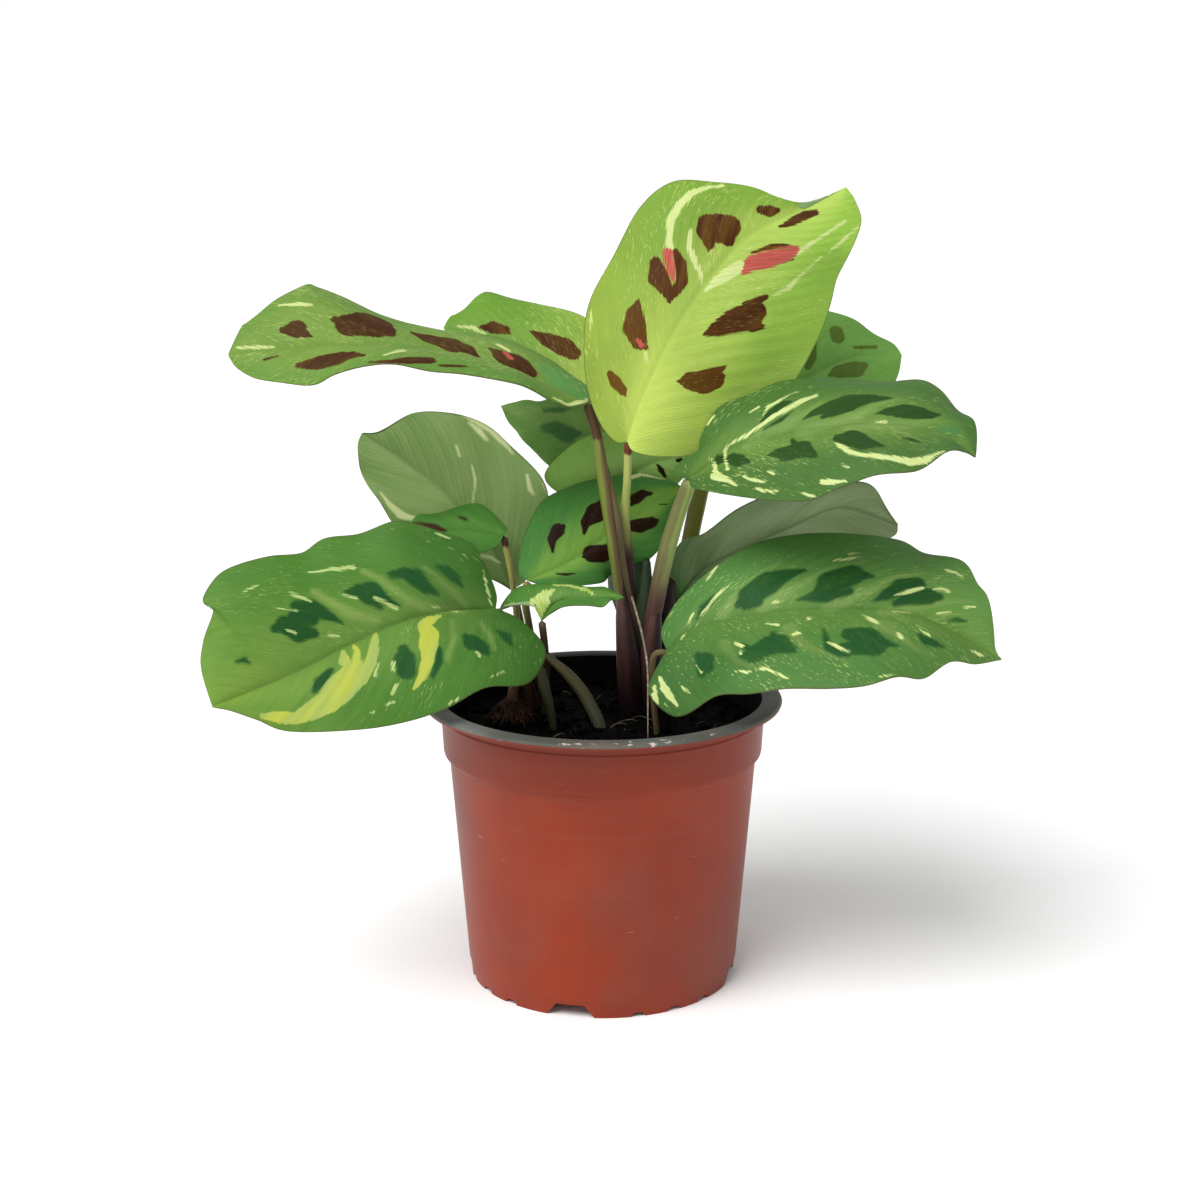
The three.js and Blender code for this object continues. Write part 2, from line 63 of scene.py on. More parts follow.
bpy.ops.object.select_all(action="DESELECT")
bpy.ops.object.camera_add(
    location=CAMERA_PLACE,
    rotation=(math.radians(90 - CAMERA_DOWN), 0, 0),
)
camera = bpy.context.object
camera.name = "camera"
camera.data.lens = CAMERA_LENS
camera.data.sensor_width = CAMERA_SENSOR
bpy.context.scene.camera = camera
print("camera looks down by", CAMERA_DOWN, "degrees")

# %% [markdown]
# ## Smooth curves
# A leaf's midrib, its two margins and every stalk are smooth curves through a few points. A
# Catmull-Rom curve passes through each of them. We sample it finely once, so that any fraction
# of its length can be looked up for thousands of vertices at a time.

# %% A smooth curve through points
class Route:
    STEPS = 200
    LOOK_AHEAD = 0.01

    def __init__(self, points):
        knots = np.array(points, float)
        ends = np.vstack([2 * knots[0] - knots[1], knots, 2 * knots[-1] - knots[-2]])
        place = np.linspace(0, len(knots) - 1, self.STEPS + 1)
        span = np.minimum(place.astype(int), len(knots) - 2)
        t = (place - span)[:, None]
        a, b, c, d = (ends[span + k] for k in range(4))
        self.points = 0.5 * (
            2 * b + (c - a) * t + (2 * a - 5 * b + 4 * c - d) * t**2 + (3 * b - a - 3 * c + d) * t**3
        )
        steps = np.linalg.norm(np.diff(self.points, axis=0), axis=1)
        self.length = steps.sum()
        self.by_length = np.concatenate([[0], np.cumsum(steps)]) / self.length
        self.by_knot = np.linspace(0, 1, self.STEPS + 1)

    def look_up(self, fraction, table):
        columns = [np.interp(fraction, table, self.points[:, k]) for k in range(3)]
        return np.stack(columns, axis=-1)

    def at(self, fraction):
        return self.look_up(np.clip(fraction, 0, 1), self.by_length)

    def direction(self, fraction):
        ahead = self.at(np.minimum(fraction + self.LOOK_AHEAD, 1))
        return unit(ahead - self.at(np.maximum(fraction - self.LOOK_AHEAD, 0)))


def unit(vectors):
    lengths = np.linalg.norm(vectors, axis=-1, keepdims=True)
    return vectors / np.maximum(lengths, 1e-9)


# %% [markdown]
# ## Working with meshes
# Small helpers keep the later cells short. One clears the selection before a primitive is added,
# because an operator works on all that is selected. One stores a number for each vertex, which a
# material can read later. The last one finishes a piece: it names it, hangs it on the body that
# it rides on and hides the measured pieces that it stands for.

# %% Small mesh helpers
def start_piece(operator, **settings):
    bpy.ops.object.select_all(action="DESELECT")
    operator(**settings)
    return bpy.context.object


def read_points(piece):
    flat = np.empty(len(piece.data.vertices) * 3)
    piece.data.vertices.foreach_get("co", flat)
    return flat.reshape(-1, 3)


def write_points(piece, points):
    piece.data.vertices.foreach_set("co", np.asarray(points, float).ravel())
    piece.data.update()


def store(piece, label, values):
    values = np.asarray(values, float)
    kind, key = ("FLOAT", "value") if values.ndim == 1 else ("FLOAT_VECTOR", "vector")
    layer = piece.data.attributes.new(label, kind, "POINT")
    layer.data.foreach_set(key, values.ravel())


def weld(piece, turn_outward, distance=1e-6):
    """Merge doubled points. An open sheet keeps its direction, a closed shape is turned outward."""
    bpy.context.view_layer.objects.active = piece
    bpy.ops.object.mode_set(mode="EDIT")
    bpy.ops.mesh.select_all(action="SELECT")
    bpy.ops.mesh.remove_doubles(threshold=distance)
    if turn_outward:
        bpy.ops.mesh.normals_make_consistent(inside=False)
    bpy.ops.object.mode_set(mode="OBJECT")


def shade_smooth(piece):
    piece.data.polygons.foreach_set("use_smooth", [True] * len(piece.data.polygons))


def apply_all(piece):
    bpy.context.view_layer.objects.active = piece
    for modifier in list(piece.modifiers):
        bpy.ops.object.modifier_apply(modifier=modifier.name)


def finish_piece(piece, name, replaces=()):
    piece.name = name
    piece.data.name = name
    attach(piece, "root")
    if replaces:
        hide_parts(*replaces)
    print(name, len(piece.data.polygons), "faces")


# %% [markdown]
# ## Node helpers
# Materials are built from nodes in code. These helpers add one node each and wire it, so that a
# recipe reads like a sum: a value may be a plain number or the output of another node. Colours
# are written as on a screen, 0 to 255, and `srgb` turns them into the shader's linear light.

# %% Node helpers
def srgb(red, green, blue):
    parts = [channel / 255 for channel in (red, green, blue)]
    linear = [((c + 0.055) / 1.055) ** 2.4 if c > 0.04045 else c / 12.92 for c in parts]
    return (*linear, 1)


def feed(tree, value, socket):
    if isinstance(value, bpy.types.NodeSocket):
        tree.links.new(value, socket)
    else:
        socket.default_value = value


def calc(tree, operation, *values):
    node = tree.nodes.new("ShaderNodeMath")
    node.operation = operation
    for value, socket in zip(values, node.inputs):
        feed(tree, value, socket)
    return node.outputs[0]


def times(tree, first, second):
    return calc(tree, "MULTIPLY", first, second)


def scaled(tree, value, factor, shift):
    """value * factor + shift"""
    return calc(tree, "MULTIPLY_ADD", value, factor, shift)


def ramp(tree, value, low, high):
    node = tree.nodes.new("ShaderNodeMapRange")
    node.interpolation_type = "SMOOTHSTEP"
    feed(tree, value, node.inputs["Value"])
    node.inputs["From Min"].default_value = low
    node.inputs["From Max"].default_value = high
    return node.outputs["Result"]


def soft_step(tree, value, width):
    """0 where the value is below -width, 1 above width."""
    return ramp(tree, calc(tree, "DIVIDE", value, width), -1, 1)


def blend(tree, factor, first, second, mode="MIX"):
    node = tree.nodes.new("ShaderNodeMix")
    node.data_type = "RGBA"
    node.blend_type = mode
    feed(tree, factor, node.inputs[0])
    feed(tree, first, node.inputs[6])
    feed(tree, second, node.inputs[7])
    return node.outputs[2]


def cover(tree, colour, mask, amount, paint, mode="MIX"):
    """The colour with a paint laid over it where the mask is, as strongly as the amount says."""
    return blend(tree, times(tree, mask, amount), colour, paint, mode)


# %% [markdown]
# ## Noise and stored values
# Nothing that grew or was used is even, so most masks start from noise. The other source is what
# the meshes carry: numbers stored at each vertex, and the place on the object itself.

# %% Noise and stored values
def cloud(tree, vector, scale=1.0, detail=2.0):
    node = tree.nodes.new("ShaderNodeTexNoise")
    feed(tree, vector, node.inputs["Vector"])
    node.inputs["Scale"].default_value = scale
    node.inputs["Detail"].default_value = detail
    return node.outputs[0]


def grain(tree, vector, factors, shift=(0, 0, 0), detail=2.0):
    """Noise with stretched lumps: the smaller a factor, the longer they are in that direction."""
    node = tree.nodes.new("ShaderNodeVectorMath")
    node.operation = "MULTIPLY_ADD"
    feed(tree, vector, node.inputs[0])
    node.inputs[1].default_value = factors
    node.inputs[2].default_value = shift
    return cloud(tree, node.outputs[0], detail=detail)


def stored(tree, label):
    node = tree.nodes.new("ShaderNodeAttribute")
    node.attribute_name = label
    split = tree.nodes.new("ShaderNodeSeparateXYZ")
    tree.links.new(node.outputs["Vector"], split.inputs[0])
    return node.outputs["Vector"], split.outputs


def object_place(tree):
    return tree.nodes.new("ShaderNodeTexCoord").outputs["Object"]


# %% [markdown]
# ## Groups and materials
# One node group serves all pieces of a kind. Its named inputs hold the colours and amounts that
# differ, and it gives out a colour, a roughness and a height. `dress` wraps a group in a material
# and fills those inputs in.

# %% Groups and materials
GROUP_OUTPUTS = ("Color", "Roughness", "Height")


def fill(socket, value):
    socket.default_value = srgb(*value) if isinstance(value, tuple) else value


def new_group(name, inputs):
    group = bpy.data.node_groups.new(name, "ShaderNodeTree")
    for label, value in inputs.items():
        kind = "NodeSocketColor" if isinstance(value, tuple) else "NodeSocketFloat"
        fill(group.interface.new_socket(label, in_out="INPUT", socket_type=kind), value)
    for label in GROUP_OUTPUTS:
        kind = "NodeSocketColor" if label == "Color" else "NodeSocketFloat"
        group.interface.new_socket(label, in_out="OUTPUT", socket_type=kind)
    source = group.nodes.new("NodeGroupInput").outputs
    target = group.nodes.new("NodeGroupOutput").inputs
    return group, source, target


def deliver(group, target, *results):
    """Wire the colour, the roughness and the height out of a group."""
    for label, result in zip(GROUP_OUTPUTS, results):
        group.links.new(result, target[label])
    print(f"{group.name}: {len(group.nodes)} nodes")


def find_node(tree, kind):
    return next(node for node in tree.nodes if node.type == kind)


def dress(name, group, values, specular=0.22):
    """A material whose colour, roughness and relief come from one node group."""
    material = bpy.data.materials.new(name)
    material.use_nodes = True
    tree = material.node_tree
    shader = find_node(tree, "BSDF_PRINCIPLED")
    look = tree.nodes.new("ShaderNodeGroup")
    look.node_tree = group
    for label, value in values.items():
        fill(look.inputs[label], value)
    bump = tree.nodes.new("ShaderNodeBump")
    bump.inputs["Distance"].default_value = MM
    tree.links.new(look.outputs["Color"], shader.inputs["Base Color"])
    tree.links.new(look.outputs["Roughness"], shader.inputs["Roughness"])
    tree.links.new(look.outputs["Height"], bump.inputs["Height"])
    tree.links.new(bump.outputs["Normal"], shader.inputs["Normal"])
    shader.inputs["Specular IOR Level"].default_value = specular
    return material


# %% [markdown]
# ## A margin without its ripples
# The short waves of a margin should die out towards the midrib, because only the rim of a leaf
# ripples. So we also need each margin smoothed: every point becomes the mean of its neighbours,
# weighted by a bell curve.

# %% A margin without its ripples
WAVE_LENGTH = 0.05


def calm(route):
    """The same curve without its short waves, at the same fractions of its length."""
    even = route.at(np.linspace(0, 1, Route.STEPS + 1))
    spread = int(3 * WAVE_LENGTH * Route.STEPS)
    before = 2 * even[0] - even[spread:0:-1]
    after = 2 * even[-1] - even[-2 : -spread - 2 : -1]
    padded = np.vstack([before, even, after])
    reach = np.arange(-spread, spread + 1) / (WAVE_LENGTH * Route.STEPS)
    weights = np.exp(-0.5 * reach**2)
    weights = weights / weights.sum()
    quiet = Route([even[0], even[-1]])
    quiet.points = np.stack([np.convolve(padded[:, k], weights, "valid") for k in range(3)], axis=1)
    quiet.by_length = quiet.by_knot
    return quiet


# %% [markdown]
# ## The shape of a blade
# A prayer plant's blade is two halves that arch up on either side of the midrib. We stretch a
# flat grid over the three curves of the leaf: `along` runs from the base to the tip, and `side`
# from -1 on the left margin to 1 on the right. Lines of equal `along` lean towards the tip, as
# the side veins do. All lengths from here on are in millimetres.

# %% Stretch a grid over a leaf
VEIN_SLANT = 0.13
HALF_ARCH = 0.10
WAVE_FADE = 3
NORMAL_STEP = 0.01


class Blade:
    def __init__(self, leaf):
        base, tip = leaf["rib"][0], leaf["rib"][-1]
        self.rib = Route(leaf["rib"])
        self.left = Route([base, *leaf["left"], tip])
        self.right = Route([base, *leaf["right"], tip])
        self.calm_left = calm(self.left)
        self.calm_right = calm(self.right)

    def point(self, side, along):
        side, along = np.broadcast_arrays(np.asarray(side, float), np.asarray(along, float))
        out = np.abs(side)
        reach = np.clip(along + VEIN_SLANT * np.sin(np.pi * along) * out, 0, 1)
        rib = self.rib.at(reach)
        on_left = side[..., None] < 0
        margin = np.where(on_left, self.left.at(reach), self.right.at(reach))
        quiet = np.where(on_left, self.calm_left.at(reach), self.calm_right.at(reach))
        across = quiet - rib
        wave = (margin - quiet) * (out**WAVE_FADE)[..., None]
        up = unit(np.cross(across, self.rib.direction(reach)) * np.sign(side)[..., None])
        width = np.linalg.norm(across, axis=-1, keepdims=True)
        lift = HALF_ARCH * width * (4 * out * (1 - out))[..., None]
        return rib + across * out[..., None] + wave + up * lift

    def normal(self, side, along):
        step = NORMAL_STEP
        along = np.clip(along, 2 * step, 1 - 2 * step)
        rightwards = self.point(side + step, along) - self.point(side - step, along)
        forwards = self.point(side, along + step) - self.point(side, along - step)
        return unit(np.cross(rightwards, forwards))

    def half_width(self, side, along):
        return np.linalg.norm(self.point(np.sign(side), along) - self.rib.at(along), axis=-1)


# %% [markdown]
# ## Relief
# Seen close, the upper face sinks along the midrib, is quilted softly between the side veins and
# ripples a little near the margin. These are real heights in the mesh, not only shading, so they
# show in the outline and when the leaf is turned.

# %% Relief of the upper face
GROOVE_DEPTH = 0.32
GROOVE_WIDTH = 1.1
QUILT_HEIGHT = 0.09
QUILT_PITCH = 5.5
RIPPLE_HEIGHT = 0.7
RIPPLES = 2.6
RIPPLE_SHIFT = 0.17
VEIN_LEAN = 1.0
VEIN_CURVE = 0.006


def vein_phase(across, along):
    """Distance along the leaf, in mm, of the side vein that passes through a point."""
    return along - VEIN_LEAN * across + VEIN_CURVE * across**2


def relief(blade, side, along, seed):
    width = blade.half_width(side, along)
    across = np.abs(side) * width
    phase = vein_phase(across, along * blade.rib.length)
    fade = np.sin(np.pi * np.clip(along, 0, 1)) ** 0.5
    groove = -GROOVE_DEPTH * np.exp(-((across / GROOVE_WIDTH) ** 2)) * fade
    inside = np.sin(np.pi * np.minimum(np.abs(side), 1)) ** 0.8
    quilt = QUILT_HEIGHT * np.cos(2 * np.pi * phase / QUILT_PITCH) * inside * fade
    uneven = 1.3 * np.sin(9 * along) + np.sign(side)
    swing = np.sin(2 * np.pi * (RIPPLES * along + RIPPLE_SHIFT * seed) + uneven)
    ripple = RIPPLE_HEIGHT * side**4 * swing * fade
    return groove + quilt + ripple


# %% [markdown]
# ## Marks on a leaf
# The dark spots, cream splashes and pink patches are strokes of a round brush in the leaf's own
# coordinates: side and along in percent, then the radius in millimetres. For each vertex we store
# how far it lies inside the nearest stroke, so a material can cut a crisp, ragged edge there.

# %% How far a point lies inside the strokes of one kind
FAR_OUTSIDE = -30.0


def inside_strokes(blade, points, strokes):
    depth = np.full(len(points), FAR_OUTSIDE)
    for stroke in strokes:
        knots = [blade.point(side / 100, along / 100) for side, along, _ in stroke]
        radii = [radius for *_, radius in stroke]
        for start, end, thick, thin in zip(knots, knots[1:], radii, radii[1:]):
            run = end - start
            share = np.clip((points - start) @ run / max(run @ run, 1e-9), 0, 1)
            reach = np.linalg.norm(points - start - share[:, None] * run, axis=1)
            depth = np.maximum(depth, thick + (thin - thick) * share - reach)
    return depth


# %% [markdown]
# ## The blade as a mesh
# One grid is enough for the upper face. Its two short edges shrink to the base and the tip, so
# their doubled points are merged there. Later a Solidify modifier adds the under face and closes
# the margin. Each half of each leaf gets a lane of its own in the noise, so no two look alike.

# %% Model a blade
MARK_LAYERS = {
    "leaf_marks": ("spot", "cream", "pink"),
    "leaf_tones": ("yellow", "shade", "pale"),
}
BLADE_THICKNESS = 0.55
LARGE_GRID = (120, 168)
SMALL_GRID = (80, 110)
LARGE_LENGTH = 85
LANE_WIDTH = 40
LANE_STEP = 7


def model_blade(name, leaf, seed):
    blade = Blade(leaf)
    cells = LARGE_GRID if blade.rib.length > LARGE_LENGTH else SMALL_GRID
    piece = start_piece(
        bpy.ops.mesh.primitive_grid_add, x_subdivisions=cells[0], y_subdivisions=cells[1], size=2
    )
    flat = read_points(piece)
    side, along = flat[:, 0], (flat[:, 1] + 1) / 2
    middle = blade.point(side, along)
    height = relief(blade, side, along, seed)
    write_points(piece, (middle + blade.normal(side, along) * height[:, None]) * MM)

    width = blade.half_width(side, along)
    across = np.abs(side) * width
    phase = vein_phase(across, along * blade.rib.length)
    lane = LANE_WIDTH * np.sign(side) + LANE_STEP * seed
    store(piece, "leaf_flow", np.stack([across, phase, lane], axis=1))
    store(piece, "leaf_where", np.stack([side, along, width], axis=1))
    for label, kinds in MARK_LAYERS.items():
        depths = [inside_strokes(blade, middle, leaf.get(kind, [])) for kind in kinds]
        store(piece, label, np.stack(depths, axis=1))
    weld(piece, turn_outward=False)
    return piece, blade



# %% [markdown]
# ## The leaves, one by one
# Each leaf is written down as its midrib and its two margins, from the base to the tip, in
# millimetres in the pot's frame, with left and right as seen on the upper face. `stalk` is the
# route of its stalk up from the soil, with a radius at each point and one more at the blade. The
# lists named after a colour hold its strokes. The points were picked by eye in the photograph, and
# a separate program, which isn't part of this file, worked out most of these numbers from them
# through the fitted camera: curves at a depth chosen by hand, strokes where they fall on the leaf.

# %% Start the list of leaves
LEAVES = {}

# %% [markdown]
# ## The tallest leaf
# It stands nearly upright and faces the viewer, lime green with chocolate spots. Two of its spots
# are washed with pink, and cream runs out of them along the veins.

# %% The tallest leaf
LEAVES["top"] = dict(
    look="lime",
    rib=[(8, -6, 183), (12, -6, 196), (22, -2, 217), (33, 3, 233), (47, 8, 248), (64, 12, 256),
        (79, 15, 263)],
    left=[(4, -4, 183), (-1, 0, 189), (-5, 4, 201), (-6, 8, 217), (-4, 11, 228), (3, 14, 241),
        (12, 16, 257), (23, 18, 265), (37, 18, 264), (50, 15, 263), (61, 12, 258), (67, 12, 257),
        (74, 15, 260)],
    right=[(10, -7, 180), (19, -4, 178), (32, 2, 178), (48, 9, 186), (62, 14, 199), (70, 16, 213),
        (75, 16, 226), (77, 14, 234), (80, 12, 242), (84, 13, 252), (82, 14, 259)],
    stalk=[(15, 17, 88), (13, 14, 105), (10.5, 11.5, 123), (9, 9, 141), (7.5, 6, 157.5), (8, 0, 169.5)],
    radii=[1.4, 1.4, 1.4, 1.4, 1.4, 1.3, 1],
    spot=[
        [(-39, 57, 3), (-27, 60, 5), (-22, 63, 4)], [(-34, 56, 3), (-20, 56, 1.6), (-17, 55, 0.4)],
        [(-22, 63, 4), (-12, 62, 2.5)], [(-30, 73, 1.5), (-23, 76, 1.9), (-23, 78, 0.9)],
        [(9, 76, 0.5), (11, 80, 1.5), (12, 84, 1.6), (19, 86, 1.1)],
        [(-52, 40, 1.9), (-41, 39, 3.5), (-25, 39, 2), (-17, 38, 0.3)],
        [(-42, 46, 0.9), (-30, 46, 1.9), (-19, 44, 2), (-19, 41, 1.8), (-19, 38, 0.8)],
        [(-47, 32, 0.3), (-44, 29, 3), (-39, 27, 4), (-28, 25, 2.5), (-19, 25, 0.9)],
        [(-58, 15, 1.2), (-47, 14, 2), (-36, 13, 1.6), (-30, 12, 0.5)],
        [(20, 37, 0.5), (25, 40, 2.5), (31, 44, 4), (39, 47, 4.5), (42, 49, 3)],
        [(34, 49, 2.5), (41, 54, 0.7)], [(45, 45, 1.9), (52, 46, 0.7)],
        [(25, 23, 0.4), (34, 25, 3), (44, 27, 4), (48, 29, 3.5)], [(45, 30, 2), (48, 33, 0.4)],
        [(12, 64, 0.4), (20, 68, 1), (27, 70, 1), (38, 71, 0.6)],
        [(27, 61, 0.3), (34, 64, 0.6), (42, 67, 0.5)],
    ],
    pink=[
        [(-47, 44, 1.7), (-38, 43, 1.5), (-25, 42, 0.5), (-20, 42, 0.2)],
        [(-31, 25, 0.7), (-23, 25, 0.8)],
        [(17, 57, 0.7), (17, 61, 2.5), (25, 64, 3), (33, 67, 2.5), (38, 70, 1.5)],
    ],
    cream=[
        [(3, 48, 0.3), (5, 52, 1.4), (8, 55, 2), (11, 59, 1.8)],
        [(-48, 45, 1.2), (-56, 46, 1), (-66, 48, 1.3), (-72, 51, 1.4), (-78, 54, 1.2), (-84, 57, 0.8),
         (-92, 61, 0.5)], [(-44, 52, 0.4), (-34, 50, 0.9), (-23, 50, 1), (-9, 50, 0.6), (-2, 49, 0.2)],
        [(42, 70, 0.7), (48, 75, 0.5), (56, 80, 0.4), (70, 85, 0.4)],
        [(72, 73, 0.2), (83, 79, 0.4), (95, 83, 0.3)],
        [(45, 55, 0.3), (53, 58, 0.7), (56, 62, 0.4), (67, 71, 0.2)], [(-17, 24, 0.6), (-12, 22, 0.2)],
        [(-94, 23, 0.4), (-91, 20, 0.4)],
    ],
)

# %% [markdown]
# ## The long leaf on the left
# It reaches far to the left and is seen almost edge on, so its spots look like dashes. Near its
# base one patch is still dark green.

# %% The long leaf on the left
LEAVES["left_high"] = dict(
    look="lime",
    rib=[(-5, 8, 194), (-21, 6, 201), (-43, 2, 209), (-65, -2, 213), (-88, -4, 214), (-120, -6, 211)],
    left=[(-7, 2, 194), (-12, -4, 194), (-17, -10, 197), (-22, -15, 201), (-28, -19, 204),
        (-43, -22, 207), (-54, -23, 208), (-65, -23, 210), (-74, -22, 209), (-84, -20, 206),
        (-91, -18, 203), (-99, -16, 203), (-110, -12, 204), (-117, -8, 207)],
    right=[(-4, 16, 197), (-11, 22, 202), (-19, 26, 207), (-35, 28, 213), (-54, 26, 215), (-73, 24, 220),
        (-88, 22, 228), (-94, 20, 231), (-98, 18, 232), (-106, 12, 227), (-115, 4, 221), (-117, 1, 219)],
    stalk=[(10, 9.5, 88), (8, 6, 114), (6, 3, 128.5), (4, 1, 142.5), (2, 0, 156), (0, 1.5, 171),
        (-2, 4.5, 184)],
    radii=[1.9, 1.8, 1.7, 1.7, 1.7, 2.1, 1.5, 1.5],
    spot=[
        [(31, 81, 1.5), (27, 78, 3.5), (17, 77, 1.6), (12, 76, 0.6)],
        [(33, 66, 1.5), (27, 63, 5), (36, 56, 7.5), (30, 54, 4.5), (20, 53, 1.2)],
        [(34, 46, 0.7), (25, 43, 3), (20, 38, 4.5), (17, 34, 2.5), (6, 32, 0.6)],
        [(31, 28, 0.7), (22, 25, 3.5), (19, 21, 5), (12, 18, 3), (11, 17, 0.8)],
        [(-61, 74, 1.1), (-59, 68, 3), (-61, 62, 3.5), (-61, 59, 2.5), (-70, 54, 0.8)],
        [(-94, 49, 0.4), (-97, 44, 1.1), (-86, 41, 2), (-77, 38, 2)],
        [(-88, 35, 0.5), (-86, 32, 0.7), (-83, 30, 0.4)], [(-42, 87, 0.5), (-30, 84, 0.4)],
    ],
    shade=[
        [(41, 13, 3), (42, 9, 7), (53, 4, 5)],
    ],
    pink=[
        [(33, 24, 1.1), (25, 23, 1.2)],
    ],
    cream=[
        [(-89, 11, 0.5), (-95, 7, 0.7), (-100, 4, 1.5), (-100, 0, 1.1)],
        [(83, 74, 0.5), (67, 71, 0.9), (58, 68, 0.4)], [(44, 96, 0.3), (14, 92, 0.5), (6, 87, 0.3)],
        [(-75, 48, 0.7), (-56, 46, 0.8)], [(50, 25, 0.7), (42, 23, 0.8)],
    ],
)

# %% [markdown]
# ## The pale leaf behind it
# Only its bright back half shows over the long leaf.

# %% The pale leaf behind it
LEAVES["left_back_high"] = dict(
    look="lime",
    rib=[(0, 22, 192), (-14, 28, 202), (-31, 33, 210), (-54, 36, 216)],
    left=[(-4, 16, 192), (-16, 14, 198), (-29, 15, 203), (-41, 19, 207), (-51, 27, 213)],
    right=[(7, 30, 197), (5, 42, 209), (-7, 50, 218), (-21, 54, 222), (-37, 54, 226), (-43, 50, 225),
        (-50, 43, 220), (-52, 40, 219)],
    stalk=[(13, 22, 88), (12.5, 27, 109), (9.5, 36, 128), (5, 43, 148), (3, 44, 165.5), (1, 43, 180)],
    radii=[1.3, 1.3, 1.3, 1.3, 1.3, 1.3, 1.2],
    spot=[
        [(16, 79, 0.4), (19, 71, 2.5), (19, 65, 2), (16, 62, 0.4)],
        [(30, 51, 0.6), (28, 43, 3), (31, 35, 4), (31, 30, 3)],
    ],
    cream=[
        [(20, 91, 0.4), (14, 82, 0.7), (5, 76, 0.3)],
    ],
)

# %% [markdown]
# ## The leaf behind on the right
# It is half hidden and a duller green, with olive spots.

# %% The leaf behind on the right
LEAVES["right_back_high"] = dict(
    look="mid",
    rib=[(41, 30, 178), (56, 38, 189), (73, 44, 199), (89, 48, 205), (104, 50, 205)],
    left=[(33, 34, 185), (34, 42, 199), (46, 50, 212), (62, 55, 218), (79, 58, 220), (93, 58, 213),
        (101, 54, 209)],
    right=[(45, 26, 174), (58, 26, 179), (74, 30, 184), (89, 36, 188), (100, 42, 195)],
    stalk=[(20.5, 15, 88), (21, 18, 111), (24.5, 21, 124.5), (28.5, 23, 138), (32, 25, 155),
        (35.5, 27, 167.5)],
    radii=[2.3, 2.4, 2.6, 2.8, 2.9, 2.4, 1.6],
    spot=[
        [(-52, 66, 2.5), (-42, 67, 2.5)], [(-41, 56, 1.4), (-23, 55, 2), (-14, 53, 1.4)],
        [(19, 59, 0.9), (20, 64, 3), (28, 70, 3.5), (28, 75, 1.6)], [(-19, 76, 0.6), (-25, 86, 0.8)],
    ],
)

# %% [markdown]
# ## The middle leaf on the right
# An older leaf: deep green margin, pale middle, dark green spots and cream streaks.

